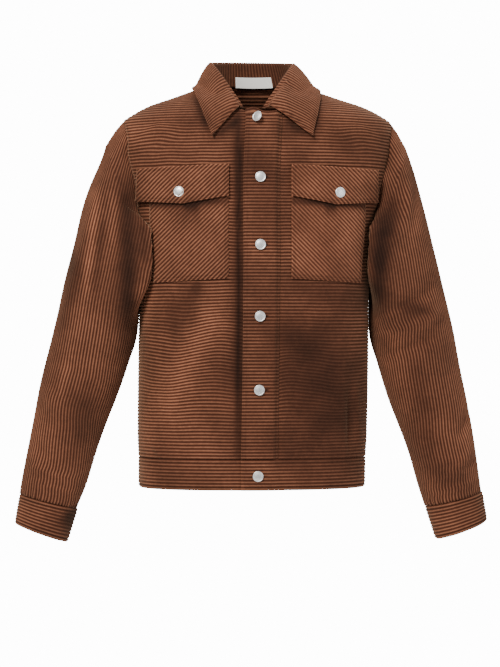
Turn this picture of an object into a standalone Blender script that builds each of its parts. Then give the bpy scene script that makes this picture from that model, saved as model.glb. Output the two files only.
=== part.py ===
"""Corduroy jacket, worn form: a hollow garment of thin cloth walls.

Metres, +Z up. The front faces -Y and the wearer's left is +X. The origin is
level with the tops of the shoulders, on the axis of the neck.
"""
import math

import bpy
import bmesh
from mathutils import Matrix, Vector

# ---------------------------------------------------------------- sizes
CLOTH = 0.002            # wall of one layer of corduroy
DOUBLE_CLOTH = 0.003     # collar leaf, cuffs and waistband are two layers
SEAM_GAP = 0.0004        # pieces stand this far apart at a seam
LAYER_GAP = 0.0004       # between a patch and the panel it lies on
CURVE_GAP = 0.0012       # the same, where both are strongly curved

SHOULDER_Z = -0.052      # outer end of the shoulder seam
ARMPIT_Z = -0.235
BAND_TOP_Z = -0.599      # seam between the body and the waistband
HEM_Z = -0.649
NECK_SIDE_X = 0.077      # where the shoulder seam meets the neckline
NECK_FRONT_Z = -0.044
NECK_SIDE_Z = 0.008
NECK_BACK_Z = 0.012
ARMHOLE_DEPTH = {-1: 0.060, 1: 0.070}   # reach of the armhole, front and back
ARMHOLE_LEAN = 0.004     # the right one reaches further forward, the left one less
ARMHOLE_FLAT = 0.20      # the front of the armhole is straighter near its top

PLACKET_EDGE_X = -0.027  # free edge of the placket, past the centre
PLACKET_SEAM_X = 0.032   # stitched edge of the placket
UNDERLAP_X = 0.020       # the right front runs on under the placket
PLACKET_RISE = CLOTH + LAYER_GAP
PLACKET_RISE_RUN = PLACKET_SEAM_X - UNDERLAP_X - 0.002   # it rises over this width
BAND_RISE_AFTER = 0.002  # clear of the underlap's end
BAND_RISE_RUN = 0.014

ROLL_HALF_WIDTH = 0.070  # fold line of the collar, seen from above
ROLL_FRONT_Y = -0.084
ROLL_BACK_Y = 0.060
ROLL_FRONT_Z = -0.035
ROLL_SIDE_Z = 0.047
ROLL_BACK_Z = 0.0555
ROLL_SHIFT = -0.004      # the collar sits a little to the wearer's right,
ROLL_FRONT_SHIFT = -0.008   # most of all at its front ends

FLAP_TOP_Z = -0.128
FLAP_END_DROP = 0.051
FLAP_POINT_DROP = 0.061
POCKET_SLOPE = 0.006     # pockets and flaps fall this much to their outer ends
POCKET_INNER_X = 0.050
FLAP_OUTER_X = 0.1930
POCKET_TOP_OUTER_X = 0.180
POCKET_FOOT_OUTER_X = 0.166
POCKET_FOOT_Z = -0.311

BUTTON_RADIUS = 0.0086
BUTTON_THICKNESS = 0.0032
BUTTON_GAP = 0.0002      # from the smooth cloth; its flat faces lie a little lower
PLACKET_BUTTON_Z = (-0.0545, -0.149, -0.257, -0.371, -0.4885)
TOP_BUTTON_X = -0.008    # the top one is turned aside under the collar
TOP_BUTTON_LEAN = math.radians(-26)
LEAN_LIFT = 0.50         # a leaning button rests on its rim's underside
BAND_BUTTON_Z = -0.626
FLAP_BUTTON_X = 0.127
FLAP_BUTTON_Z = -0.1725

LABEL_WIDTH = 0.063
LABEL_HEIGHT = 0.018
LABEL_FOOT_Z = 0.012
LABEL_SHIFT = 0.005
LABEL_GAP = 0.0007       # from the curved stand
LABEL_THICKNESS = 0.001

FACING_HALF_WIDTH = 0.058   # strip inside the back of the neck
FACING_FOOT_Z = -0.060
FACING_FOOT_SLOPE = 0.25
FACING_TOP_DROP = 0.0012

SIDES = {"left": 1, "right": -1}        # the wearer's sides
FRONT, BACK = -1, 1

# Rings of the body by height: half width at the side, depth in front and
# behind, how square the ring is, and how far it sways sideways.
BODY_RINGS = [
    dict(z=-0.660, width=0.1865, front=0.121, back=0.113, square=2.5, sway=-0.0040),
    dict(z=-0.606, width=0.1870, front=0.121, back=0.114, square=2.5, sway=-0.0035),
    dict(z=-0.560, width=0.1890, front=0.123, back=0.116, square=2.5, sway=-0.0030),
    dict(z=-0.450, width=0.1895, front=0.124, back=0.116, square=2.5, sway=-0.0015),
    dict(z=-0.350, width=0.1890, front=0.124, back=0.120, square=2.5, sway=-0.0005),
    dict(z=-0.285, width=0.1925, front=0.124, back=0.125, square=2.5, sway=0.0),
    dict(z=-0.235, width=0.1970, front=0.122, back=0.128, square=2.5, sway=0.0),
    dict(z=-0.150, width=0.2200, front=0.116, back=0.128, square=2.4, sway=0.0005),
    dict(z=-0.075, width=0.2280, front=0.107, back=0.120, square=2.2, sway=0.0040),
    dict(z=-0.052, width=0.2220, front=0.101, back=0.112, square=2.0, sway=0.0055),
    dict(z=-0.040, width=0.2060, front=0.096, back=0.107, square=1.95, sway=0.0055),
    dict(z=-0.026, width=0.1790, front=0.088, back=0.099, square=1.9, sway=0.0045),
    dict(z=-0.013, width=0.1400, front=0.078, back=0.088, square=1.9, sway=0.0025),
    dict(z=0.000, width=0.1020, front=0.067, back=0.076, square=2.0, sway=0.0005),
    dict(z=0.008, width=0.0770, front=0.060, back=0.068, square=2.0, sway=0.0),
    dict(z=0.014, width=0.0560, front=0.052, back=0.060, square=2.0, sway=0.0),
]

# Rings of a sleeve below the armhole: outer and inner ends of each ring in
# the front view, half its depth, and how far forward it hangs.
SLEEVE_RINGS = [
    dict(at=0.06, out_x=0.2475, out_z=-0.092, in_x=0.197, in_z=-0.242, depth=0.068, y=0.000),
    dict(at=0.12, out_x=0.2657, out_z=-0.145, in_x=0.194, in_z=-0.258, depth=0.070, y=-0.001),
    dict(at=0.18, out_x=0.2813, out_z=-0.198, in_x=0.192, in_z=-0.282, depth=0.070, y=-0.002),
    dict(at=0.24, out_x=0.2937, out_z=-0.251, in_x=0.191, in_z=-0.312, depth=0.069, y=-0.004),
    dict(at=0.30, out_x=0.3069, out_z=-0.304, in_x=0.191, in_z=-0.352, depth=0.068, y=-0.006),
    dict(at=0.36, out_x=0.3185, out_z=-0.356, in_x=0.194, in_z=-0.400, depth=0.066, y=-0.009),
    dict(at=0.42, out_x=0.3308, out_z=-0.409, in_x=0.208, in_z=-0.449, depth=0.063, y=-0.013),
    dict(at=0.48, out_x=0.3416, out_z=-0.462, in_x=0.225, in_z=-0.499, depth=0.060, y=-0.018),
    dict(at=0.54, out_x=0.3515, out_z=-0.515, in_x=0.243, in_z=-0.548, depth=0.056, y=-0.024),
    dict(at=0.60, out_x=0.3614, out_z=-0.568, in_x=0.260, in_z=-0.597, depth=0.052, y=-0.030),
    dict(at=0.66, out_x=0.3696, out_z=-0.620, in_x=0.274, in_z=-0.645, depth=0.048, y=-0.036),
    dict(at=0.71, out_x=0.3755, out_z=-0.657, in_x=0.286, in_z=-0.680, depth=0.045, y=-0.040),
]
CUFF_RINGS = [
    dict(at=0.0, out_x=0.3753, out_z=-0.6578, in_x=0.2865, in_z=-0.6808, depth=0.0445, y=-0.040),
    dict(at=1.0, out_x=0.3830, out_z=-0.7050, in_x=0.303, in_z=-0.7340, depth=0.0405, y=-0.046),
]
SLEEVE_CLEAR = 0.0035    # sleeve to body side, below the armpit
SLEEVE_SWING = {"left": -0.006, "right": 0.006}   # outward, at the cuff
CAP_SWELL = {"left": 0.001, "right": -0.006}      # outward, below the shoulder
CAP_SWELL_Z = -0.108
TUCK_REACH = {"left": 0.032, "right": 0.044}      # front of the sleeve, over the body
TUCK_FORWARD = 0.022
TUCK_CLEAR = 0.0095      # there it also clears the pocket and its flap
TUCK_TURN = 2.15
TUCK_LEAST = 0.01
TUCK_SOFT = 0.08

# Largest folds of the body: a ridge (height above 0) or trough between two
# places on one face, x on the wearer's left positive.
BODY_FOLDS = [
    dict(face=FRONT, x0=-0.068, z0=-0.320, x1=-0.150, z1=-0.545, width=0.030, height=0.0060),
    dict(face=FRONT, x0=-0.038, z0=-0.110, x1=-0.040, z1=-0.560, width=0.010, height=-0.0035),
    dict(face=FRONT, x0=-0.120, z0=-0.330, x1=-0.172, z1=-0.420, width=0.022, height=-0.0045),
    dict(face=FRONT, x0=-0.085, z0=-0.440, x1=-0.095, z1=-0.600, width=0.022, height=-0.0035),
    dict(face=FRONT, x0=0.150, z0=-0.470, x1=0.158, z1=-0.600, width=0.010, height=-0.0035),
    dict(face=FRONT, x0=0.130, z0=-0.380, x1=0.140, z1=-0.600, width=0.016, height=0.0030),
    dict(face=FRONT, x0=0.060, z0=-0.330, x1=0.080, z1=-0.590, width=0.030, height=-0.0030),
    dict(face=FRONT, x0=0.165, z0=-0.150, x1=0.190, z1=-0.215, width=0.014, height=-0.0030),
    dict(face=FRONT, x0=-0.165, z0=-0.150, x1=-0.190, z1=-0.215, width=0.014, height=-0.0030),
    dict(face=BACK, x0=0.060, z0=-0.100, x1=0.165, z1=-0.240, width=0.022, height=-0.0045),
    dict(face=BACK, x0=-0.055, z0=-0.110, x1=-0.160, z1=-0.250, width=0.022, height=-0.0045),
    dict(face=BACK, x0=0.085, z0=-0.330, x1=0.060, z1=-0.590, width=0.026, height=0.0050),
    dict(face=BACK, x0=-0.075, z0=-0.370, x1=-0.095, z1=-0.600, width=0.028, height=0.0045),
    dict(face=BACK, x0=0.010, z0=-0.400, x1=-0.010, z1=-0.600, width=0.024, height=-0.0045),
]

# Largest folds of a sleeve: "at" runs down the sleeve, "turn" round it in
# radians from the top of the shoulder by way of the front.
SLEEVE_FOLDS = {
    "right": [
        dict(at0=0.08, turn0=0.95, at1=0.44, turn1=0.60, width=0.016, height=0.0050),
        dict(at0=0.10, turn0=1.65, at1=0.34, turn1=1.35, width=0.016, height=-0.0045),
        dict(at0=0.08, turn0=2.20, at1=0.26, turn1=2.05, width=0.014, height=0.0035),
        dict(at0=0.44, turn0=0.90, at1=0.50, turn1=2.10, width=0.016, height=-0.0040),
        dict(at0=0.50, turn0=0.50, at1=0.56, turn1=1.60, width=0.016, height=0.0040),
        dict(at0=0.60, turn0=0.60, at1=0.66, turn1=2.00, width=0.013, height=-0.0035),
        dict(at0=0.38, turn0=4.10, at1=0.46, turn1=5.60, width=0.020, height=-0.0050),
        dict(at0=0.12, turn0=4.20, at1=0.30, turn1=4.90, width=0.020, height=0.0045),
    ],
    "left": [
        dict(at0=0.08, turn0=0.85, at1=0.22, turn1=1.90, width=0.016, height=0.0055),
        dict(at0=0.06, turn0=1.60, at1=0.20, turn1=2.40, width=0.015, height=-0.0050),
        dict(at0=0.31, turn0=0.70, at1=0.34, turn1=2.20, width=0.012, height=-0.0045),
        dict(at0=0.36, turn0=0.60, at1=0.38, turn1=2.00, width=0.012, height=0.0045),
        dict(at0=0.40, turn0=0.90, at1=0.41, turn1=2.30, width=0.012, height=-0.0035),
        dict(at0=0.55, turn0=0.30, at1=0.60, turn1=1.30, width=0.013, height=-0.0045),
        dict(at0=0.61, turn0=0.50, at1=0.67, turn1=1.90, width=0.014, height=0.0040),
        dict(at0=0.38, turn0=4.20, at1=0.44, turn1=5.70, width=0.020, height=-0.0050),
        dict(at0=0.14, turn0=4.40, at1=0.32, turn1=4.80, width=0.020, height=0.0040),
    ],
}

ARM_STEPS = 12           # rows of a panel along half an armhole
SIDE_STEPS = 11          # rows from the waistband to the armpit
FRONT_COLUMNS = 12
NECK_COLUMN = 4          # the column that ends at the neck side

BROWN = (0.115, 0.045, 0.024)
CREAM = (0.80, 0.77, 0.70)
SILVER = (0.74, 0.73, 0.70)


# ---------------------------------------------------------------- curves
def table_value(table, key, column, at):
    """Smooth value of a column at a place, without overshoot."""
    if at <= table[0][key]:
        return table[0][column]
    if at >= table[-1][key]:
        return table[-1][column]
    row = next(i for i in range(len(table) - 1) if at <= table[i + 1][key])

    def slope(i):
        return ((table[i + 1][column] - table[i][column])
                / (table[i + 1][key] - table[i][key]))

    def tangent(i):
        if i in (0, len(table) - 1):
            return slope(min(i, len(table) - 2))
        before, after = slope(i - 1), slope(i)
        if before * after <= 0:
            return 0.0
        return 2 * before * after / (before + after)

    start, end = table[row], table[row + 1]
    step = end[key] - start[key]
    t = (at - start[key]) / step
    return ((2 * t**3 - 3 * t**2 + 1) * start[column]
            + (t**3 - 2 * t**2 + t) * step * tangent(row)
            + (3 * t**2 - 2 * t**3) * end[column]
            + (t**3 - t**2) * step * tangent(row + 1))


def smooth_step(t):
    t = max(0.0, min(1.0, t))
    return t * t * (3 - 2 * t)


def mix(a, b, t):
    return a + (b - a) * t


def fold_height(u, v, u0, v0, u1, v1, width, height):
    """A soft ridge along a segment, round across it and fading at its ends."""
    du, dv = u1 - u0, v1 - v0
    along = ((u - u0) * du + (v - v0) * dv) / (du * du + dv * dv)
    near = max(0.0, min(1.0, along))
    away = math.hypot(u - u0 - du * near, v - v0 - dv * near)
    fade = smooth_step(near / 0.35) * smooth_step((1 - near) / 0.35)
    return height * (0.15 + 0.85 * fade) * math.exp(-(away / width) ** 2)


# ---------------------------------------------------------------- the body
def body(column, z):
    return table_value(BODY_RINGS, "z", column, z)


def face_depth(face, z):
    return body("front" if face == FRONT else "back", z)


def ring_level(x, y, z, face):
    """1 on the body's surface, more outside it."""
    square = body("square", z)
    return ((abs(x) / body("width", z)) ** square
            + (abs(y) / face_depth(face, z)) ** square)


def ring_slope(x, y, z, face):
    """How fast ring_level grows along each axis."""
    step = 0.0005
    return Vector((
        ring_level(x + step, y, z, face) - ring_level(x - step, y, z, face),
        ring_level(x, y + step, z, face) - ring_level(x, y - step, z, face),
        ring_level(x, y, z + step, face) - ring_level(x, y, z - step, face))) / (2 * step)


def clear_body(point, clear):
    """Move a point out until it lies the given distance from the body."""
    for _ in range(4):
        face = FRONT if point.y < 0 else BACK
        x = point.x - body("sway", point.z)
        slope = ring_slope(x, point.y, point.z, face)
        distance = (ring_level(x, point.y, point.z, face) - 1) / slope.length
        if distance < clear:
            point = point + slope.normalized() * (clear - distance) * 0.8
    return point


def body_point(face, x, z, out=0.0):
    """Point of the body at x and z, moved out along its normal."""
    square = body("square", z)
    reach = min(1.0, abs(x) / body("width", z))
    y = face * face_depth(face, z) * (1 - reach ** square) ** (1 / square)
    slope = ring_slope(x, y, z, face)
    if reach > 0.9999 and z > ARMPIT_Z:
        slope.y = 0.0
    normal = slope.normalized()
    for fold in BODY_FOLDS:
        if fold["face"] == face:
            out += fold_height(x, z, fold["x0"], fold["z0"], fold["x1"], fold["z1"],
                               fold["width"], fold["height"]) * side_fade(reach)
    return Vector((x + body("sway", z), y, z)) + normal * out


def side_fade(reach):
    """Folds die away at the side seam, where front and back meet."""
    return smooth_step((1 - reach) / 0.03)


def armhole(face, side, turn):
    """x and z of the armhole, from the shoulder (0) to the armpit (pi)."""
    middle = (SHOULDER_Z + ARMPIT_Z) / 2
    z = middle + (SHOULDER_Z - ARMPIT_Z) / 2 * math.cos(turn)
    square = body("square", z)
    depth = ARMHOLE_DEPTH[face]
    if face == FRONT:
        depth = (depth - side * ARMHOLE_LEAN) * (1 - ARMHOLE_FLAT * math.exp(-((turn - 1.2) / 0.4) ** 2))
    y = depth * math.sin(turn) / face_depth(face, z)
    return body("width", z) * (1 - y ** square) ** (1 / square), z


def neckline_z(face, x):
    low = NECK_FRONT_Z if face == FRONT else NECK_BACK_Z
    reach = min(1.0, abs(x) / NECK_SIDE_X)
    return NECK_SIDE_Z + (low - NECK_SIDE_Z) * math.sqrt(1 - reach * reach)


def shoulder_z(x):
    """Height of the shoulder seam over x: the ring that is just x wide."""
    low, high = SHOULDER_Z, BODY_RINGS[-1]["z"]
    for _ in range(40):
        middle = (low + high) / 2
        if body("width", middle) > abs(x):
            low = middle
        else:
            high = middle
    return low


def top_z(face, x):
    return neckline_z(face, x) if abs(x) < NECK_SIDE_X else shoulder_z(x)


def edge_rows():
    """Where each row of a panel ends: up the side seam, then round the armhole."""
    rows = []
    for i in range(SIDE_STEPS):
        z = mix(BAND_TOP_Z, ARMPIT_Z, i / SIDE_STEPS)
        rows.append(("side", z))
    for i in range(ARM_STEPS, -1, -1):
        rows.append(("arm", math.pi * i / ARM_STEPS))
    return rows


def panel_row(face, side, start_x, columns, neck_column, where, value):
    """One row of a panel, from start_x to the side or the armhole."""
    if where == "side":
        z_edge, x_edge = value, body("width", value)
    else:
        x_edge, z_edge = armhole(face, side, value)
    height = (z_edge - BAND_TOP_Z) / (SHOULDER_Z - BAND_TOP_Z)
    neck_share = (NECK_SIDE_X - start_x) / (body("width", SHOULDER_Z) - start_x)
    row = []
    for i in range(columns + 1):
        a = i / columns
        low = math.sin(a * math.pi / 2) ** (2 / 2.5)
        if i <= neck_column:
            high = neck_share * i / neck_column
        else:
            high = mix(neck_share, 1.0, (i - neck_column) / (columns - neck_column))
        share = mix(low, high, smooth_step((height - 0.45) / 0.55))
        top_x = start_x + (body("width", SHOULDER_Z) - start_x) * high
        x = start_x + (x_edge - start_x) * share
        z = BAND_TOP_Z + (top_z(face, top_x) - BAND_TOP_Z) * height
        if i == columns:
            x, z = x_edge, z_edge
        row.append((side * x, z))
    return row


def front_panel(side, start_x):
    return [[body_point(FRONT, x, z) for x, z in
             panel_row(FRONT, side, start_x, FRONT_COLUMNS, NECK_COLUMN, where, value)]
            for where, value in edge_rows()]


def back_panel():
    rows = []
    for where, value in edge_rows():
        half = [panel_row(BACK, side, 0.0, FRONT_COLUMNS, NECK_COLUMN, where, value)
                for side in (1, -1)]
        flat = list(reversed(half[0])) + half[1][1:]
        rows.append([body_point(BACK, x, z) for x, z in flat])
    return rows


def open_ends(rows, columns_at):
    """Draw the edge columns back by the seam gap."""
    for row in rows:
        for edge, inside in columns_at:
            row[edge] = row[edge] + (row[inside] - row[edge]).normalized() * SEAM_GAP
    return rows


def open_seams(rows, columns_at):
    """Draw the panel's last row and edge columns back by the seam gap."""
    open_ends(rows, columns_at)
    rows[-1] = [p + (q - p).normalized() * SEAM_GAP for p, q in zip(rows[-1], rows[-2])]
    return rows


# ---------------------------------------------------------------- mesh work
def cloth_material(name, colour, metallic=0.0, roughness=0.85):
    material = bpy.data.materials.new(name)
    material.use_nodes = True
    shader = material.node_tree.nodes["Principled BSDF"]
    shader.inputs["Base Color"].default_value = (*colour, 1.0)
    shader.inputs["Metallic"].default_value = metallic
    shader.inputs["Roughness"].default_value = roughness
    return material


def add_object(name, mesh, colour, metallic=0.0, roughness=0.85):
    mesh.materials.append(cloth_material(name, colour, metallic, roughness))
    obj = bpy.data.objects.new(name, mesh)
    bpy.data.collections["corduroy_jacket"].objects.link(obj)
    return obj


def sheet(name, rows, thickness, colour=BROWN, closed=False, turned=False):
    """A cloth wall: an open grid of points with Solidify on its inner side."""
    mesh = bpy.data.meshes.new(name)
    width = len(rows[0])
    faces = []
    for j in range(len(rows) - 1):
        for i in range(width if closed else width - 1):
            k = (i + 1) % width
            face = (j * width + i, j * width + k, (j + 1) * width + k, (j + 1) * width + i)
            faces.append(face[::-1] if turned else face)
    mesh.from_pydata([p for row in rows for p in row], [], faces)
    mesh.validate()
    mesh.shade_smooth()
    obj = add_object(name, mesh, colour)
    wall = obj.modifiers.new("wall", "SOLIDIFY")
    wall.thickness = thickness
    wall.offset = -1.0
    wall.use_even_offset = False
    return obj


# ---------------------------------------------------------------- pieces
def make_fronts():
    # Point order runs from the centre outwards, so the left front is turned.
    left = open_seams(front_panel(1, PLACKET_SEAM_X + SEAM_GAP), [(-1, -2)])
    sheet("front_left", left, CLOTH)
    right = open_seams(front_panel(-1, -UNDERLAP_X), [(-1, -2)])
    sheet("front_right", right, CLOTH, turned=True)


def make_back():
    sheet("back", open_seams(back_panel(), [(0, 1), (-1, -2)]), CLOTH)


def placket_rise(x):
    """The strip lies over the underlap and meets the left front flat."""
    return (PLACKET_RISE + CLOTH) * smooth_step((PLACKET_SEAM_X - x) / PLACKET_RISE_RUN)


def strip_rows(x_values, z_values, rise):
    return [[body_point(FRONT, x, z, rise(x)) for x in x_values] for z in z_values]


def spread(start, end, count):
    return [mix(start, end, i / count) for i in range(count + 1)]


def make_placket():
    x_values = spread(PLACKET_EDGE_X, UNDERLAP_X, 4) + spread(UNDERLAP_X, PLACKET_SEAM_X, 3)[1:]
    rows = []
    for share in spread(0.0, 1.0, 20):
        row = []
        for x in x_values:
            z = mix(BAND_TOP_Z + SEAM_GAP, neckline_z(FRONT, x) - SEAM_GAP, share)
            row.append(body_point(FRONT, x, z, placket_rise(x)))
        rows.append(row)
    sheet("placket", rows, CLOTH)


def side_arc(face, side, start_x, count):
    """x values along a ring from start_x to the side seam."""
    return [side * (start_x + (1 - start_x) * math.sin(i / count * math.pi / 2) ** 0.8)
            for i in range(count + 1)]


def band_rows(face, side, start_x, rise):
    width_share = start_x / body("width", HEM_Z)
    rows = []
    for z in spread(HEM_Z, BAND_TOP_Z - SEAM_GAP, 3):
        shares = side_arc(face, side, width_share, 11)
        rows.append([body_point(face, s * body("width", z), z, rise(s * body("width", z)))
                     for s in shares])
    return rows


def make_waistband():
    left = open_ends(band_rows(FRONT, 1, PLACKET_EDGE_X, band_rise), [(-1, -2)])
    sheet("waistband_front_left", left, DOUBLE_CLOTH)
    right = open_ends(band_rows(FRONT, -1, -UNDERLAP_X, no_rise), [(-1, -2)])
    sheet("waistband_front_right", right, DOUBLE_CLOTH, turned=True)
    half = [band_rows(BACK, side, 0.0, no_rise) for side in (1, -1)]
    rows = [list(reversed(a)) + b[1:] for a, b in zip(*half)]
    sheet("waistband_back", open_ends(rows, [(0, 1), (-1, -2)]), DOUBLE_CLOTH)


def no_rise(x):
    return 0.0


def band_rise(x):
    """The left end of the band lies over the right one."""
    start = UNDERLAP_X + BAND_RISE_AFTER + BAND_RISE_RUN
    return (DOUBLE_CLOTH + LAYER_GAP) * smooth_step((start - x) / BAND_RISE_RUN)


def pocket_rows(side, top_z_of, foot_z_of, outer_x_of, out):
    rows = []
    for share in spread(1.0, 0.0, 8):
        row = []
        for across in spread(0.0, 1.0, 8):
            z_mid = mix(top_z_of(across), foot_z_of(across), share) - POCKET_SLOPE * across
            x = mix(POCKET_INNER_X, outer_x_of(share), across)
            row.append(body_point(FRONT, side * x, z_mid, out))
        rows.append(row)
    return rows


def flap_foot(across):
    """A flap is deepest at its middle, where the button is."""
    middle = 1 - abs(across - 0.5) * 2
    return FLAP_TOP_Z - mix(FLAP_END_DROP, FLAP_POINT_DROP, middle)


def make_pockets():
    bag_out = CURVE_GAP + CLOTH
    flap_out = 2 * CURVE_GAP + 2 * CLOTH
    for name, side in SIDES.items():
        turned = side < 0
        bag = pocket_rows(side, lambda a: FLAP_TOP_Z - 0.006, lambda a: POCKET_FOOT_Z,
                          lambda s: mix(POCKET_TOP_OUTER_X, POCKET_FOOT_OUTER_X, s), bag_out)
        sheet("pocket_" + name, bag, CLOTH, turned=turned)
        flap = pocket_rows(side, lambda a: FLAP_TOP_Z, flap_foot,
                           lambda s: FLAP_OUTER_X, flap_out)
        sheet("flap_" + name, flap, CLOTH, turned=turned)


def ring_point(ring, side, swing, turn, out=0.0):
    """Point of a tilted elliptical ring, from its outer end by the front."""
    outer = Vector((ring["out_x"], 0.0, ring["out_z"]))
    inner = Vector((ring["in_x"], 0.0, ring["in_z"]))
    middle = (outer + inner) / 2
    half = (outer - inner) / 2
    reach = half.length + out
    point = middle + half.normalized() * reach * math.cos(turn)
    point.y = ring["y"] - (ring["depth"] + out) * math.sin(turn)
    point.x += swing * smooth_step((-0.30 - point.z) / 0.42)
    point.x *= side
    return point


def tuck_sleeve(name, side, point, turn):
    """Swell of the cap, and the front of the sleeve where it lies over the body."""
    outer = max(0.0, math.cos(turn))
    point.x += side * CAP_SWELL[name] * outer * math.exp(-((point.z - CAP_SWELL_Z) / 0.045) ** 2)
    level = smooth_step((-0.185 - point.z) / 0.05) * smooth_step((point.z + 0.400) / 0.110)
    share = level * math.exp(-((turn - TUCK_TURN) / 0.55) ** 2)
    point.x -= side * TUCK_REACH[name] * share
    point.y -= TUCK_FORWARD * share
    if share < TUCK_LEAST:
        return point
    return clear_body(point, TUCK_CLEAR * smooth_step(share / TUCK_SOFT))


def sleeve_ring(at):
    ring = {column: table_value(SLEEVE_RINGS, "at", column, at)
            for column in ("out_x", "out_z", "in_x", "in_z", "depth", "y")}
    clear = body("width", ring["in_z"]) + SLEEVE_CLEAR
    if ring["in_z"] > -0.42:
        ring["in_x"] = max(ring["in_x"], clear)
    return ring


def sleeve_fold(name, at, turn):
    """Height of a sleeve's folds; round the sleeve is scaled to real size."""
    round_scale = 0.062
    total = 0.0
    for fold in SLEEVE_FOLDS[name]:
        total += fold_height(at, turn * round_scale, fold["at0"], fold["turn0"] * round_scale,
                             fold["at1"], fold["turn1"] * round_scale,
                             fold["width"], fold["height"])
    return total


def sleeve_start(side, turn):
    """The sleeve's first ring, just clear of the armhole's edge."""
    face = FRONT if turn <= math.pi else BACK
    x, z = armhole(face, side, min(turn, 2 * math.pi - turn))
    point = body_point(face, side * x, z)
    point.x += side * (0.5 * SEAM_GAP + 0.0035 * (1 - math.cos(turn)) / 2)
    return point


def make_sleeves():
    turns = [2 * math.pi * i / (2 * ARM_STEPS) for i in range(2 * ARM_STEPS)]
    stations = spread(0.03, SLEEVE_RINGS[-1]["at"], 22)
    for name, side in SIDES.items():
        swing = SLEEVE_SWING[name]
        rows = [[sleeve_start(side, turn) for turn in turns]]
        for at in stations:
            row = []
            for turn in turns:
                ring = sleeve_ring(max(at, SLEEVE_RINGS[0]["at"]))
                out = sleeve_fold(name, at, turn) * smooth_step(at / 0.08)
                point = tuck_sleeve(name, side, ring_point(ring, side, swing, turn, out), turn)
                if at < SLEEVE_RINGS[0]["at"]:
                    point = mix(sleeve_start(side, turn), point, 0.62)
                row.append(point)
            rows.append(row)
        sheet("sleeve_" + name, rows, CLOTH, closed=True, turned=side > 0)
        cuff = []
        for share in spread(0.0, 1.0, 3):
            ring = {column: mix(CUFF_RINGS[0][column], CUFF_RINGS[1][column], share)
                    for column in CUFF_RINGS[0]}
            cuff.append([ring_point(ring, side, swing, turn) for turn in turns])
        sheet("cuff_" + name, cuff, DOUBLE_CLOTH, closed=True, turned=side > 0)


# ---------------------------------------------------------------- the collar
# Outer edge of the collar leaf, by the turn round the neck from the front
# (0) to the back (1).
LEAF_EDGE = [
    dict(turn=0.00, x=0.0812, y=-0.1130, z=-0.0810),
    dict(turn=0.15, x=0.0885, y=-0.0900, z=-0.0560),
    dict(turn=0.30, x=0.0970, y=-0.0580, z=-0.0260),
    dict(turn=0.45, x=0.1030, y=-0.0180, z=-0.0040),
    dict(turn=0.60, x=0.0980, y=0.0250, z=0.0000),
    dict(turn=0.75, x=0.0760, y=0.0620, z=0.0010),
    dict(turn=0.90, x=0.0340, y=0.0870, z=0.0000),
    dict(turn=1.00, x=0.0000, y=0.0930, z=-0.0010),
]
LEAF_FRONT_X = 0.0150    # front end of the leaf at the fold line
LEAF_CLEAR = 0.0050      # outside of the leaf over the body
LEAF_CLEAR_FRONT = 0.0076   # the same, over the placket
TIP_SHIFT = 0.005        # both tips lie a little to the wearer's left
STAND_INSET = 0.0045     # top of the stand, inside the fold line
STAND_DROP = 0.0042      # top of the stand, below the fold line
STAND_LIFT = 0.0016      # foot of the stand, above the neckline
STAND_FOOT = Matrix.Diagonal((0.980, 0.975, 1.0))   # foot, inside the neckline
STAND_END_ANGLE = 0.48   # its front ends stop short of the centre
STAND_FRONT_DROP = 0.009    # its top is lower and further inside in front
STAND_FRONT_INSET = 0.012


def roll_point(angle, drop=0.0, inside=0.0):
    """Fold line of the collar; angle 0 is the front centre, pi the back."""
    x = (ROLL_HALF_WIDTH - inside) * math.sin(angle)
    front = math.cos(angle) > 0
    y = -math.cos(angle) * ((-ROLL_FRONT_Y if front else ROLL_BACK_Y) - inside)
    level = LEAF_FRONT_X / ROLL_HALF_WIDTH
    rise = max(0.0, (abs(math.sin(angle)) - level) / (1 - level)) if front else 1.0
    z = mix(ROLL_FRONT_Z, ROLL_SIDE_Z, rise)
    if not front:
        z = mix(ROLL_SIDE_Z, ROLL_BACK_Z, -math.cos(angle))
    shift = mix(ROLL_SHIFT, ROLL_FRONT_SHIFT, max(0.0, math.cos(angle)) ** 2)
    return Vector((x + shift, y, z - drop))


def neck_point(angle):
    """Neckline seam: sides of the neck hole, from front centre to back."""
    face = FRONT if math.cos(angle) > 0 else BACK
    x = NECK_SIDE_X * math.sin(angle)
    return body_point(face, x, neckline_z(face, x))


def leaf_clear(point):
    """Over the placket the leaf stands higher than on the shoulders."""
    return mix(LEAF_CLEAR_FRONT, LEAF_CLEAR, smooth_step((abs(point.x) - 0.040) / 0.025))


def stand_point(angle, share):
    """The collar stand, from its foot (0) to just under the fold (1)."""
    foot = STAND_FOOT @ neck_point(angle) + Vector((0, 0, STAND_LIFT))
    front = max(0.0, math.cos(angle))
    top = roll_point(angle, STAND_DROP + STAND_FRONT_DROP * front,
                     STAND_INSET + STAND_FRONT_INSET * front)
    return mix(foot, top, share)


def leaf_point(angle, side, turn, share):
    """The collar leaf, from the fold (0) in a soft roll to its edge (1)."""
    edge = Vector([table_value(LEAF_EDGE, "turn", axis, turn) for axis in "xyz"])
    edge.x = side * edge.x + TIP_SHIFT * (1 - turn) ** 2
    fold = roll_point(angle)
    bend = mix(fold, edge, 0.42)
    round_side = smooth_step(turn / 0.35)
    bend.z = mix(fold.z, edge.z, mix(0.38, 0.26, round_side)) + mix(0.003, 0.002, round_side)
    point = mix(mix(fold, bend, share), mix(bend, edge, share), share)
    return clear_body(point, leaf_clear(point)) if share > 0.1 else point


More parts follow.
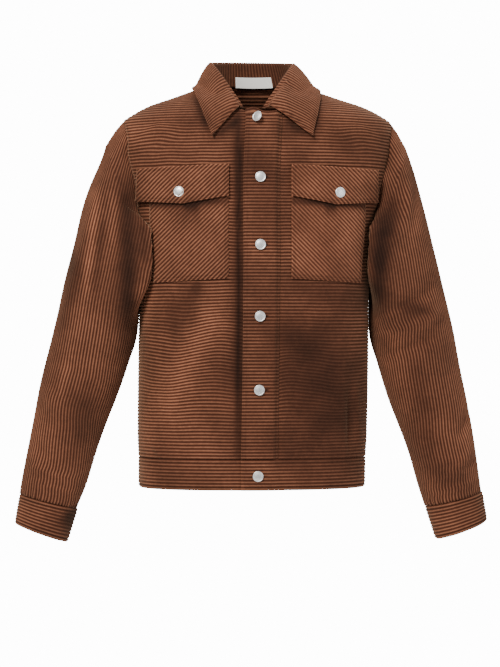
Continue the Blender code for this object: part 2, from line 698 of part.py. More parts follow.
def make_collar():
    angles = spread(STAND_END_ANGLE, 2 * math.pi - STAND_END_ANGLE, 32)
    rows = [[stand_point(angle, share) for angle in angles] for share in spread(0.0, 1.0, 3)]
    sheet("collar_stand", rows, CLOTH)

    start = math.asin(LEAF_FRONT_X / ROLL_HALF_WIDTH)
    leaf_angles = spread(start, 2 * math.pi - start, 40)
    rows = []
    for share in spread(1.0, 0.0, 7):
        row = []
        for angle in leaf_angles:
            turn = (angle - start) / (math.pi - start)
            side = 1 if turn <= 1 else -1
            turn = turn if turn <= 1 else 2 - turn
            row.append(leaf_point(angle, side, turn, share))
        rows.append(row)
    sheet("collar_leaf", rows, DOUBLE_CLOTH)


def make_neck_inside():
    inside = -(CLOTH + CURVE_GAP + LAYER_GAP)
    rows = []
    for share in spread(0.0, 1.0, 4):
        row = []
        for x in spread(FACING_HALF_WIDTH, -FACING_HALF_WIDTH, 12):
            foot = FACING_FOOT_Z + FACING_FOOT_SLOPE * abs(x)
            z = mix(foot, neckline_z(BACK, x) - FACING_TOP_DROP, share)
            row.append(body_point(BACK, x, z, inside))
        rows.append(row)
    sheet("back_neck_facing", rows, CLOTH)

    rows = []
    half_angle = LABEL_WIDTH / 2 / ROLL_HALF_WIDTH
    centre = math.pi - LABEL_SHIFT / ROLL_HALF_WIDTH
    inset = CLOTH + LABEL_GAP
    for z in spread(LABEL_FOOT_Z, LABEL_FOOT_Z + LABEL_HEIGHT, 2):
        row = []
        for angle in spread(centre - half_angle, centre + half_angle, 8):
            foot, top = stand_point(angle, 0.0), stand_point(angle, 1.0)
            point = mix(foot, top, (z - foot.z) / (top.z - foot.z))
            inward = Vector((-point.x, -point.y, 0)).normalized()
            row.append(point + inward * inset)
        rows.append(row)
    sheet("neck_label", rows, LABEL_THICKNESS, CREAM)


# ---------------------------------------------------------------- buttons
def button_mesh(name):
    """A turned metal button: domed, with a soft rim, on a short shank."""
    shank, rim = 0.0030, 0.0010
    profile = [(0.0, 0.0), (shank, 0.0), (shank, 0.0010), (BUTTON_RADIUS - rim, 0.0010),
               (BUTTON_RADIUS, 0.0020), (BUTTON_RADIUS - rim, BUTTON_THICKNESS),
               (0.0, BUTTON_THICKNESS + 0.0004)]
    mesh = bpy.data.meshes.new(name)
    shape = bmesh.new()
    points = [shape.verts.new((radius, 0.0, height)) for radius, height in profile]
    edges = [shape.edges.new(pair) for pair in zip(points, points[1:])]
    bmesh.ops.spin(shape, geom=points + edges, cent=(0, 0, 0), axis=(0, 0, 1),
                   angle=2 * math.pi, steps=16, use_merge=True)
    bmesh.ops.remove_doubles(shape, verts=shape.verts, dist=0.00001)
    bmesh.ops.recalc_face_normals(shape, faces=shape.faces)
    shape.to_mesh(mesh)
    shape.free()
    mesh.shade_smooth()
    return mesh


def place_button(name, x, z, out, lean=0.0):
    """A button on the cloth; lean turns it to the side about its lower edge."""
    foot = body_point(FRONT, x, z, out)
    above = body_point(FRONT, x, z, out + 0.01)
    outward = (above - foot).normalized()
    foot = foot + outward * (BUTTON_RADIUS * LEAN_LIFT) * math.sin(abs(lean))
    outward = Matrix.Rotation(lean, 3, "Z") @ outward
    obj = add_object(name, button_mesh(name), SILVER, metallic=0.9, roughness=0.35)
    turn = outward.to_track_quat("Z", "Y").to_matrix().to_4x4()
    obj.matrix_world = Matrix.Translation(foot + outward * BUTTON_GAP) @ turn


def make_buttons():
    placket_out = PLACKET_RISE + CLOTH
    place_button("button_1", TOP_BUTTON_X, PLACKET_BUTTON_Z[0], placket_out, TOP_BUTTON_LEAN)
    for number, z in enumerate(PLACKET_BUTTON_Z[1:], start=2):
        place_button(f"button_{number}", 0.0, z, placket_out)
    place_button("button_band", 0.0, BAND_BUTTON_Z, DOUBLE_CLOTH + LAYER_GAP)
    for name, side in SIDES.items():
        place_button("button_flap_" + name, side * FLAP_BUTTON_X, FLAP_BUTTON_Z,
                     2 * CURVE_GAP + 2 * CLOTH)


def main():
    for obj in list(bpy.data.objects):
        bpy.data.objects.remove(obj)
    jacket = bpy.data.collections.new("corduroy_jacket")
    bpy.context.scene.collection.children.link(jacket)
    make_fronts()
    make_back()
    make_placket()
    make_waistband()
    make_pockets()
    make_sleeves()
    make_collar()
    make_neck_inside()
    make_buttons()


main()
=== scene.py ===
import math
import bpy
import bmesh
import numpy as np
from mathutils import Matrix, Vector


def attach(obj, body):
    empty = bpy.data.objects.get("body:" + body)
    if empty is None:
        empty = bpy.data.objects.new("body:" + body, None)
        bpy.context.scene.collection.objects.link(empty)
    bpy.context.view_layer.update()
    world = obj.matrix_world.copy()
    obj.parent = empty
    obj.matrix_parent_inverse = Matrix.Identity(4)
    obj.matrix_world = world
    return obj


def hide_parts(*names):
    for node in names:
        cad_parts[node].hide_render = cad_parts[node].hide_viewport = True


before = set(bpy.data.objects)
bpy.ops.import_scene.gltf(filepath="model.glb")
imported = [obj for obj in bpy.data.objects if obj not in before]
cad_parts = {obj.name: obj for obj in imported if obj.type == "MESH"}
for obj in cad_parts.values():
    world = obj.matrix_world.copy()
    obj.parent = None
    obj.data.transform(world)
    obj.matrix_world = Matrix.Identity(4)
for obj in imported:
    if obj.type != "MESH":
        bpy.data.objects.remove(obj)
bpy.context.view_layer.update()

# The cloth follows the same rings as the solids: metres, front -Y, the
# wearer's left +X, origin at the shoulders on the neck's axis.
front, back = -1, 1
cloth, doubleCloth = 0.002, 0.003
shoulderZ, armpitZ, bandTopZ, hemZ = -0.052, -0.235, -0.599, -0.649
neckSideX, neckFrontZ, neckSideZ, neckBackZ = 0.077, -0.044, 0.008, 0.012
armholeDepth, armholeLean, armholeFlat = {front: 0.060, back: 0.070}, 0.004, 0.20
placketEdgeX, placketSeamX, underlapX = -0.027, 0.032, 0.020
seamGap, layerGap, curveGap = 0.0004, 0.0004, 0.0012


def table(columns, rows):
    return [dict(zip(columns.split(), row)) for row in rows]


# half width, depth in front and behind, squareness, and how far it sways aside
bodyRings = table("z width front back square sway", [
    (-0.660, 0.1865, 0.121, 0.113, 2.5, -0.0040),
    (-0.606, 0.1870, 0.121, 0.114, 2.5, -0.0035),
    (-0.560, 0.1890, 0.123, 0.116, 2.5, -0.0030),
    (-0.450, 0.1895, 0.124, 0.116, 2.5, -0.0015),
    (-0.350, 0.1890, 0.124, 0.120, 2.5, -0.0005),
    (-0.285, 0.1925, 0.124, 0.125, 2.5, 0.0),
    (-0.235, 0.1970, 0.122, 0.128, 2.5, 0.0),
    (-0.150, 0.2200, 0.116, 0.128, 2.4, 0.0005),
    (-0.075, 0.2280, 0.107, 0.120, 2.2, 0.0040),
    (-0.052, 0.2220, 0.101, 0.112, 2.0, 0.0055),
    (-0.040, 0.2060, 0.096, 0.107, 1.95, 0.0055),
    (-0.026, 0.1790, 0.088, 0.099, 1.9, 0.0045),
    (-0.013, 0.1400, 0.078, 0.088, 1.9, 0.0025),
    (0.000, 0.1020, 0.067, 0.076, 2.0, 0.0005),
    (0.008, 0.0770, 0.060, 0.068, 2.0, 0.0),
    (0.014, 0.0560, 0.052, 0.060, 2.0, 0.0),
])

# wide wale corduroy: its cords, pile and browns; the groove brown is partly painted shade and the crest brown
# partly a painted highlight
corduroy = dict(
    pitch=0.0054,          # one cord to the next
    height=0.0010,         # pile above the groove
    samples=6,             # mesh rows to a cord
    show=0.80,             # how far grooves and crests part in colour
    fibre=0.34,            # unevenness of the pile's colour
    paintedShadeRange=(0.2, 1.8),   # darkest and lightest the painted light and shade make the pile
    paintedShadeFade=0.05,          # depth over which the painted shading of front and back change over
    # the grooves' colour is partly their own darker ground and partly painted shade; the crest colour holds a
    # painted highlight
    groove=(0.032, 0.0090, 0.0048),
    flank=(0.088, 0.0285, 0.0145),
    crest=(0.285, 0.1180, 0.0640),
    sheen=0.30, sheenTint=(0.95, 0.60, 0.38), sheenRoughness=0.42, roughness=0.88,
)
step = corduroy["pitch"] / corduroy["samples"]


# curves and rings, worked on whole arrays
def tableValue(rows, key, column, at):
    # smooth curve through a column of a table, which never overshoots its rows
    keys = np.array([row[key] for row in rows], float)
    values = np.array([row[column] for row in rows], float)
    at = np.clip(np.asarray(at, float), keys[0], keys[-1])
    slopes = np.diff(values) / np.diff(keys)
    tangents = np.zeros(len(keys))
    tangents[0], tangents[-1] = slopes[0], slopes[-1]
    before, after = slopes[:-1], slopes[1:]
    same = before * after > 0
    total = np.where(same, before + after, 1.0)
    tangents[1:-1] = np.where(same, 2 * before * after / total, 0.0)
    row = np.clip(np.searchsorted(keys, at, side="left") - 1, 0, len(keys) - 2)
    span = keys[row + 1] - keys[row]
    t = (at - keys[row]) / span
    return ((2 * t**3 - 3 * t**2 + 1) * values[row] + (t**3 - 2 * t**2 + t) * span * tangents[row]
            + (3 * t**2 - 2 * t**3) * values[row + 1] + (t**3 - t**2) * span * tangents[row + 1])


def smoothStep(t):
    t = np.clip(t, 0.0, 1.0)
    return t * t * (3 - 2 * t)


def mix(a, b, t):
    return a + (b - a) * t


def foldHeight(u, v, fold):
    # ridge or trough along a segment, fading at both ends
    u0, v0, u1, v1 = (fold[n] for n in ("u0", "v0", "u1", "v1"))
    du, dv = u1 - u0, v1 - v0
    near = np.clip(((u - u0) * du + (v - v0) * dv) / (du * du + dv * dv), 0.0, 1.0)
    away = np.hypot(u - u0 - du * near, v - v0 - dv * near)
    fade = smoothStep(near / 0.35) * smoothStep((1 - near) / 0.35)
    return fold["height"] * (0.15 + 0.85 * fade) * np.exp(-(away / fold["width"]) ** 2)


def unit(vectors):
    return vectors / np.maximum(np.linalg.norm(vectors, axis=-1, keepdims=True), 1e-12)


def wander(u, v, scale, seed):
    # slow smooth noise from crossed sines, about -1 to 1
    rng = np.random.default_rng(seed)
    total = 0.0
    for _ in range(5):
        angle, phase, size = rng.uniform(0, 2 * math.pi, 2).tolist() + [rng.uniform(0.6, 1.7)]
        total = total + np.sin((u * math.cos(angle) + v * math.sin(angle)) * size / scale + phase)
    return total / 3.0


def bodyTable(column, z):
    return tableValue(bodyRings, "z", column, z)


def faceDepth(face, z):
    return bodyTable("front" if face == front else "back", z)


def ringLevel(x, y, z, face):
    square = bodyTable("square", z)
    return (np.abs(x) / bodyTable("width", z)) ** square + (np.abs(y) / faceDepth(face, z)) ** square


def levelSlope(level, x, y, z, e=0.0005):
    return np.stack([level(x + e, y, z) - level(x - e, y, z), level(x, y + e, z) - level(x, y - e, z),
                     level(x, y, z + e) - level(x, y, z - e)], axis=-1) / (2 * e)


def clearBody(points, clear):
    # move points out until they lie the given distance from the body
    def level(x, y, z):
        return np.where(y < 0, ringLevel(x, y, z, front), ringLevel(x, y, z, back))

    for _ in range(4):
        x, y, z = points[..., 0] - bodyTable("sway", points[..., 2]), points[..., 1], points[..., 2]
        slope = levelSlope(level, x, y, z)
        size = np.linalg.norm(slope, axis=-1)
        short = np.clip(clear - (level(x, y, z) - 1) / size, 0, None) * 0.8
        points = points + slope / size[..., None] * short[..., None]
    return points


bodyFolds = table("face u0 v0 u1 v1 width height", [  # the largest ones, as in the solids
    (front, -0.068, -0.320, -0.150, -0.545, 0.030, 0.0060),
    (front, -0.038, -0.110, -0.040, -0.560, 0.010, -0.0035),
    (front, -0.120, -0.330, -0.172, -0.420, 0.022, -0.0045),
    (front, -0.085, -0.440, -0.095, -0.600, 0.022, -0.0035),
    (front, 0.150, -0.470, 0.158, -0.600, 0.010, -0.0035),
    (front, 0.130, -0.380, 0.140, -0.600, 0.016, 0.0030),
    (front, 0.060, -0.330, 0.080, -0.590, 0.030, -0.0030),
    (front, 0.165, -0.150, 0.190, -0.215, 0.014, -0.0030),
    (front, -0.165, -0.150, -0.190, -0.215, 0.014, -0.0030),
    (back, 0.060, -0.100, 0.165, -0.240, 0.022, -0.0045),
    (back, -0.055, -0.110, -0.160, -0.250, 0.022, -0.0045),
    (back, 0.085, -0.330, 0.060, -0.590, 0.026, 0.0050),
    (back, -0.075, -0.370, -0.095, -0.600, 0.028, 0.0045),
    (back, 0.010, -0.400, -0.010, -0.600, 0.024, -0.0045),
])
smallFolds = table("face u0 v0 u1 v1 width height", [  # finer creases, only here
    (front, -0.0345, -0.060, -0.0345, -0.590, 0.0055, -0.0030),
    (front, 0.030, -0.420, 0.070, -0.585, 0.012, -0.0022),
    (front, -0.060, -0.420, -0.075, -0.570, 0.016, -0.0024),
    (front, -0.185, -0.330, -0.120, -0.345, 0.010, -0.0018),
    (front, 0.175, -0.180, 0.120, -0.120, 0.012, -0.0018),
    (front, 0.148, -0.495, 0.152, -0.600, 0.0035, -0.0026),
    (front, -0.165, -0.575, -0.150, -0.600, 0.005, 0.0022),
    (front, -0.145, -0.572, -0.132, -0.600, 0.005, 0.0020),
    (front, -0.120, -0.578, -0.112, -0.600, 0.005, 0.0016),
    (front, -0.060, -0.585, -0.056, -0.600, 0.005, 0.0012),
    (front, 0.160, -0.470, 0.172, -0.590, 0.006, 0.0022),
    (front, -0.150, -0.470, -0.172, -0.560, 0.014, -0.0020),
    (front, 0.100, -0.070, 0.190, -0.100, 0.018, -0.0016),
    (front, -0.100, -0.070, -0.190, -0.100, 0.018, -0.0016),
    (back, 0.150, -0.440, 0.162, -0.595, 0.012, -0.0025),
    (back, -0.130, -0.560, -0.124, -0.600, 0.006, 0.0018),
    (back, 0.125, -0.562, 0.120, -0.600, 0.006, 0.0018),
    (back, -0.020, -0.555, -0.024, -0.600, 0.006, 0.0014),
    (back, -0.160, -0.300, -0.080, -0.330, 0.014, -0.0018),
    (back, 0.160, -0.290, 0.090, -0.345, 0.014, -0.0022),
])


# where the cloth hangs lower or is drawn up, bending its cords
clothSags = table("u0 v0 u1 v1 width height", [
    (-0.100, -0.335, -0.172, -0.520, 0.030, -0.0065),
    (-0.046, -0.335, -0.092, -0.545, 0.026, 0.0045),
    (0.052, -0.410, 0.060, -0.530, 0.030, 0.0045),
    (0.135, -0.400, 0.140, -0.550, 0.034, -0.0045),
    (-0.180, -0.060, -0.150, -0.100, 0.030, 0.0040),
    (0.180, -0.060, 0.150, -0.100, 0.030, 0.0040),
])


def sagDrop(x, z):
    return sum(foldHeight(x, z, sag) for sag in clothSags) + 0.0005 * wander(x, z * 0.4, 0.012, 21)


uneven = dict(height=0.0008, scale=0.022, seamFade=0.03, topZ=-0.03, topFade=0.05)


def bodyPoint(face, x, z, out=0.0, fine=True):
    # points of the body at x and z, moved out along the normal
    x, z = np.broadcast_arrays(np.asarray(x, float), np.asarray(z, float))
    square, width, depth = bodyTable("square", z), bodyTable("width", z), faceDepth(face, z)
    reach = np.minimum(1.0, np.abs(x) / width)
    y = face * depth * (1 - reach ** square) ** (1 / square)
    slope = levelSlope(lambda *place: ringLevel(*place, face), x, y, z)
    slope[..., 1] = np.where((reach > 0.9999) & (z > armpitZ), 0.0, slope[..., 1])
    normal = unit(slope)
    fade = smoothStep((1 - reach) / uneven["seamFade"])
    total = np.zeros_like(x) + out
    for fold in bodyFolds + (smallFolds if fine else []):
        if fold["face"] == face:
            total = total + foldHeight(x, z, fold) * fade
    if fine:
        bumps = uneven["height"] * wander(x, z, uneven["scale"], 5 + face)
        total = total + bumps * fade * smoothStep((uneven["topZ"] - z) / uneven["topFade"])
    return np.stack([x + bodyTable("sway", z), y, z], axis=-1) + normal * total[..., None]


def armholeAt(face, side, turn):
    # x and z of the armhole, shoulder (0) to armpit (pi)
    z = (shoulderZ + armpitZ) / 2 + (shoulderZ - armpitZ) / 2 * np.cos(turn)
    square, depth = bodyTable("square", z), armholeDepth[face]
    if face == front:
        depth = (depth - side * armholeLean) * (1 - armholeFlat * np.exp(-((turn - 1.2) / 0.4) ** 2))
    y = depth * np.sin(turn) / faceDepth(face, z)
    return bodyTable("width", z) * (1 - y ** square) ** (1 / square), z


def necklineZ(face, x):
    low = neckFrontZ if face == front else neckBackZ
    reach = np.minimum(1.0, np.abs(x) / neckSideX)
    return neckSideZ + (low - neckSideZ) * np.sqrt(1 - reach * reach)


def panelEdges(face, side, z):
    # inner and outer x of a panel at height z: neckline, armhole, side
    middle, half = (shoulderZ + armpitZ) / 2, (shoulderZ - armpitZ) / 2
    turn = np.arccos(np.clip((z - middle) / half, -1, 1))
    outer = np.where((z > armpitZ) & (z < shoulderZ), armholeAt(face, side, turn)[0], bodyTable("width", z))
    low = neckFrontZ if face == front else neckSideZ
    share = np.clip((neckSideZ - z) / (neckSideZ - low + 1e-9), 0, 1)
    inner = np.where(z > low, neckSideX * np.sqrt(1 - share ** 2), 0.0)
    return inner, outer


# painted light and shade on the brushed pile, lighter (above 0) or darker: from x u0, z v0 to x u1, z v1
paintedLightAndShadeSpots = table("face u0 v0 u1 v1 width shade", [
    (front, -0.066, -0.330, -0.168, -0.560, 0.026, 0.52),
    (front, -0.046, -0.380, -0.050, -0.520, 0.018, -0.22),
    (front, 0.060, -0.330, 0.120, -0.580, 0.070, -0.52),
    (front, 0.100, -0.500, 0.160, -0.640, 0.040, -0.36),
    (front, -0.184, -0.310, -0.184, -0.400, 0.013, 0.85),
    (front, -0.140, -0.335, -0.130, -0.410, 0.015, -0.34),
    (front, -0.112, -0.322, -0.090, -0.332, 0.012, -0.38),
    (front, 0.100, -0.065, 0.200, -0.115, 0.024, -0.26),
    (front, 0.010, -0.060, 0.075, -0.085, 0.018, -0.38),
    (front, -0.060, -0.055, -0.150, -0.060, 0.014, -0.20),
    (front, -0.207, -0.045, -0.200, -0.110, 0.020, 0.24),
    (front, -0.020, -0.050, 0.030, -0.300, 0.036, -0.20),
    (front, 0.060, -0.080, 0.055, -0.170, 0.020, -0.16),
    (front, -0.120, -0.320, -0.100, -0.410, 0.014, -0.36),
    (front, 0.150, -0.165, 0.150, -0.290, 0.022, 0.26),
    (front, -0.172, -0.150, -0.150, -0.290, 0.016, 0.18),
    (front, -0.186, -0.200, -0.180, -0.300, 0.009, -0.36),
    (front, -0.182, -0.490, -0.182, -0.680, 0.016, 0.42),
    (front, 0.186, -0.540, 0.186, -0.680, 0.012, 0.50),
    (front, 0.010, -0.318, 0.210, -0.340, 0.026, -0.34),
    (front, 0.000, -0.560, 0.110, -0.620, 0.036, -0.26),
    (front, 0.230, -0.060, 0.262, -0.120, 0.018, 0.24),
    (front, 0.306, -0.320, 0.350, -0.540, 0.012, 0.34),
    (front, 0.260, -0.690, 0.360, -0.730, 0.030, 0.18),
    (front, -0.390, -0.660, -0.385, -0.720, 0.020, 0.22),
    (front, -0.256, -0.140, -0.282, -0.370, 0.0065, 0.60),
    (front, -0.230, -0.150, -0.234, -0.285, 0.0075, 0.28),
    (front, -0.246, -0.180, -0.262, -0.340, 0.0070, -0.30),
    (front, -0.272, -0.220, -0.312, -0.400, 0.0090, -0.18),
    (front, -0.296, -0.400, -0.322, -0.520, 0.0070, 0.30),
    (front, -0.212, -0.110, -0.206, -0.440, 0.019, -0.72),
    (front, -0.290, -0.220, -0.322, -0.430, 0.012, -0.34),
    (front, -0.255, -0.440, -0.300, -0.620, 0.018, -0.22),
    (front, 0.200, -0.165, 0.192, -0.400, 0.017, -0.72),
    (front, 0.222, -0.165, 0.212, -0.260, 0.014, -0.45),
    (front, 0.285, -0.160, 0.235, -0.260, 0.016, 0.34),
    (front, 0.215, -0.352, 0.300, -0.366, 0.010, -0.30),
    (front, 0.250, -0.420, 0.285, -0.600, 0.018, -0.30),
    (front, 0.330, -0.460, 0.378, -0.680, 0.020, 0.36),
    (front, -0.355, -0.460, -0.385, -0.650, 0.018, 0.18),
    (front, -0.312, -0.680, -0.280, -0.715, 0.022, -0.72),
    (front, 0.128, -0.196, 0.100, -0.199, 0.012, -0.40),
    (front, -0.128, -0.196, -0.090, -0.199, 0.012, -0.50),
    (back, -0.120, -0.300, -0.060, -0.520, 0.050, -0.20),
    (back, 0.060, -0.200, 0.110, -0.480, 0.050, 0.14),
])
for holeZ in (-0.149, -0.257, -0.371, -0.4885, -0.626):  # painted shade at the ends of the buttonholes
    paintedLightAndShadeSpots.append(dict(face=front, u0=0.007, v0=holeZ, u1=0.0125, v1=holeZ, width=0.0014, shade=-1.3))


# painted shadow on the fronts beside the placket and under the collar's edge
frontPaintedShadows = table("face u0 v0 u1 v1 width shade", [
    (front, -0.0335, 0.060, -0.0335, -0.700, 0.0075, -0.80),
    (front, -0.106, 0.000, -0.076, -0.086, 0.0075, -0.55),
    (front, -0.076, -0.088, -0.028, -0.050, 0.0070, -0.50),
    (front, 0.100, 0.000, 0.088, -0.088, 0.0075, -0.55),
    (front, 0.088, -0.088, 0.036, -0.050, 0.0070, -0.50),
])


def paintedLightAndShade(points, extra=()):
    # painted light and shade: 1 where none is painted, darker below and lighter above, with a little random
    # unevenness of the pile's tone
    x, y, z = points[..., 0], points[..., 1], points[..., 2]
    total = np.ones_like(x)
    for spot in paintedLightAndShadeSpots + list(extra):
        fade = smoothStep(0.5 + spot["face"] * y / corduroy["paintedShadeFade"])
        total = total + foldHeight(x, z, dict(spot, height=spot["shade"])) * fade
    total = total + 0.10 * wander(x, z, 0.030, 11) + 0.06 * wander(x + y, z - y, 0.011, 12)
    return np.clip(total, *corduroy["paintedShadeRange"])


rowsSet = dict(topZ=0.0076, acrossX=0.12, evenFromZ=-0.016, evenToZ=-0.012)


def clothRows():
    # heights of mesh rows that lie one step of cloth apart, measured up the chest at acrossX
    z = np.linspace(bandTopZ, rowsSet["topZ"], 4000)
    reach = np.clip(rowsSet["acrossX"] / bodyTable("width", z), 0, 0.999)
    square = bodyTable("square", z)
    y = faceDepth(front, z) * (1 - reach ** square) ** (1 / square)
    slope = np.hypot(np.diff(z), np.diff(y))
    level = z[1:]
    even = (level > rowsSet["evenFromZ"]) & (level < rowsSet["evenToZ"])
    slope[level > rowsSet["evenToZ"]] = slope[even].mean()
    length = np.concatenate([[0], np.cumsum(slope)])
    count = int(length[-1] / step) // corduroy["samples"] * corduroy["samples"]
    along = np.arange(count + 1) * step
    return np.interp(along, length, z), along / corduroy["pitch"]


rowHeights, rowCords = clothRows()


def cordRelief(phase):
    # a broad round cord with a narrow groove at whole numbers
    return corduroy["height"] * (1 - np.abs(np.cos(math.pi * phase)) ** 3)


def gridNormals(points, turned, closed=False):
    if closed:
        points = np.concatenate([points[:, -2:-1], points, points[:, 1:2]], axis=1)
    normal = unit(np.cross(np.gradient(points, axis=1), np.gradient(points, axis=0)))
    if closed:
        normal = normal[:, 1:-1]
    return -normal if turned else normal


def edgeGap(points, rows=(True, True), columns=(True, True)):
    # how far each point lies from the edges named: first and last row and column
    down = np.linalg.norm(np.diff(points, axis=0), axis=-1)
    across = np.linalg.norm(np.diff(points, axis=1), axis=-1)
    v = np.concatenate([np.zeros((1, points.shape[1])), np.cumsum(down, axis=0)])
    u = np.concatenate([np.zeros((points.shape[0], 1)), np.cumsum(across, axis=1)], axis=1)
    gap = np.full(points.shape[:2], 1.0)
    for use, away in ((rows[0], v), (rows[1], v[-1:] - v), (columns[0], u), (columns[1], u[:, -1:] - u)):
        if use:
            gap = np.minimum(gap, away)
    return gap


def seamRoll(gap, depth=0.0011, width=0.0022, stitch=None, pull=0.0006):
    # the cloth turns down at a seam and dips again under a row of stitches
    roll = -depth * np.exp(-(gap / width) ** 2)
    if stitch:
        roll = roll - pull * np.exp(-((gap - stitch) / 0.0013) ** 2)
    return roll


def meshPiece(name, verts, faces):
    mesh = bpy.data.meshes.new(name)
    mesh.from_pydata(verts, [], faces)
    obj = bpy.data.objects.new(name, mesh)
    bpy.context.scene.collection.objects.link(obj)
    return obj


def gridFaces(index, reverse):
    corners = np.stack([index[:-1, :-1], index[:-1, 1:], index[1:, 1:], index[1:, :-1]], axis=-1)
    corners = corners.reshape(-1, 4)
    return (corners[:, ::-1] if reverse else corners).tolist()


def rimFaces(finePath, coarsePath, picks, reverse):
    # one face for each coarse edge, with all the fine points along it
    faces = []
    for k in range(len(picks) - 1):
        face = finePath[picks[k]:picks[k + 1] + 1].tolist() + [coarsePath[k + 1], coarsePath[k]]
        faces.append(face[::-1] if reverse else face)
    return faces


def everyNth(count, skip):
    return np.unique(np.append(np.arange(0, count, skip), count - 1))


def weldPoints(mesh):
    work = bmesh.new()
    work.from_mesh(mesh)
    bmesh.ops.remove_doubles(work, verts=work.verts, dist=2e-6)
    bmesh.ops.dissolve_degenerate(work, edges=work.edges, dist=1e-7)
    work.to_mesh(mesh)
    work.free()


# painted light and shade: cord contrast and relief where painted dark, painted highlight on the turned edges,
# painted shade along the stitches
shell = dict(shadedContrast=0.34, shadedRelief=0.6, shadedFrom=0.40, shadedRange=0.75, plainCord=0.45,
             rollHighlighted=-0.0008, paintedEdgeHighlight=1.28, stitchPaintedShade=300)


def clothShell(name, points, phase, wall, turned=False, skip=(6, 4), roll=None, mask=1.0, visible="outside",
               closed=False, normals=None, shade=1.0, weld=False, spots=(), lap=0.0):
    # A closed cloth wall: cords in fine rows on the side that shows, a plain
    # coarse sheet on the other, joined at the rim. Points are the outside.
    if normals is None:
        normals = gridNormals(points, turned, closed)
    # where the painted shade is dark, the cords' painted contrast and their relief are lowered
    paintedLitShare = smoothStep((paintedLightAndShade(points, spots) - shell["shadedFrom"]) / shell["shadedRange"])
    contrast = mix(shell["shadedContrast"], 1.0, paintedLitShare)
    relief = cordRelief(phase) - corduroy["height"] * 0.6
    relief = np.broadcast_to(relief, points.shape[:2]) * mask * mix(shell["shadedRelief"], 1.0, contrast)
    if roll is not None:
        relief = relief + roll
    if visible == "outside":
        fine = points + normals * relief[..., None]
        coarse = points - normals * wall + lap
    else:
        fine = points - normals * (wall + relief)[..., None]
        coarse = points
    rows, columns = points.shape[:2]
    rowPick, columnPick = everyNth(rows, skip[0]), everyNth(columns, skip[1])
    coarse = coarse[rowPick][:, columnPick]
    verts = np.concatenate([fine.reshape(-1, 3), coarse.reshape(-1, 3)])
    fineCount = rows * columns
    fineIndex = np.arange(fineCount).reshape(rows, columns)
    coarseIndex = fineCount + np.arange(coarse[..., 0].size).reshape(coarse.shape[:2])
    flip = turned != (visible == "inside")
    faces = gridFaces(fineIndex, flip) + gridFaces(coarseIndex, not flip)
    faces += rimFaces(fineIndex[0], coarseIndex[0], columnPick, not flip)
    faces += rimFaces(fineIndex[-1], coarseIndex[-1], columnPick, flip)
    if not closed:
        faces += rimFaces(fineIndex[:, 0], coarseIndex[:, 0], rowPick, flip)
        faces += rimFaces(fineIndex[:, -1], coarseIndex[:, -1], rowPick, not flip)
    obj = meshPiece(name, verts.tolist(), faces)
    # cord runs from 0 in the grooves to 1 on the crests, for the painted shade and highlight of the colour
    # ramp
    cord = np.sin(math.pi * np.broadcast_to(phase, (rows, columns))) ** 2 * mask + (1 - mask) * 0.5
    cord = 0.5 + (cord - 0.5) * contrast * corduroy["show"]
    cord = np.concatenate([cord.ravel(), np.full(coarseIndex.size, shell["plainCord"])])
    # painted light and shade from the spots, times shade, which paints the whole piece lighter or darker
    paintedShading = paintedLightAndShade(verts, spots) * shade
    if roll is not None:
        # painted highlight on the turned edges, painted shade along the stitches
        roll = np.broadcast_to(roll, (rows, columns)).ravel()
        highlighted = roll < shell["rollHighlighted"]
        paintedShading[:fineCount] *= np.where(highlighted, shell["paintedEdgeHighlight"], 1 + shell["stitchPaintedShade"] * roll)
    for layerName, values in (("cord", cord), ("paintedShading", paintedShading)):
        layer = obj.data.attributes.new(layerName, "FLOAT", "POINT")
        layer.data.foreach_set("value", values.astype(np.float32))
    if closed or weld:
        weldPoints(obj.data)
    obj.data.shade_smooth()
    return obj


# materials
def nodeMaterial(name):
    # also gives the functions that add a node, add a colour ramp and fill in the shader
    material = bpy.data.materials.new(name)
    material.use_nodes = True
    tree = material.node_tree

    def fill(made, inputs):
        for key, value in inputs.items():
            if isinstance(value, bpy.types.NodeSocket):
                tree.links.new(value, made.inputs[key])
            else:
                made.inputs[key].default_value = value

    def node(kind, inputs, **settings):
        made = tree.nodes.new("ShaderNode" + kind)
        for key, value in settings.items():
            setattr(made, key, value)
        fill(made, inputs)
        return made.outputs

    def ramp(value, stops):
        made = tree.nodes.new("ShaderNodeValToRGB")
        ends = made.color_ramp.elements
        ends[0].position, ends[0].color = stops[0][0], (*stops[0][1], 1)
        ends[1].position, ends[1].color = stops[-1][0], (*stops[-1][1], 1)
        for position, colour in stops[1:-1]:
            ends.new(position).color = (*colour, 1)
        fill(made, {"Fac": value})
        return made.outputs["Color"]

    def surface(inputs):
        fill(tree.nodes["Principled BSDF"], inputs)

    return material, node, ramp, surface


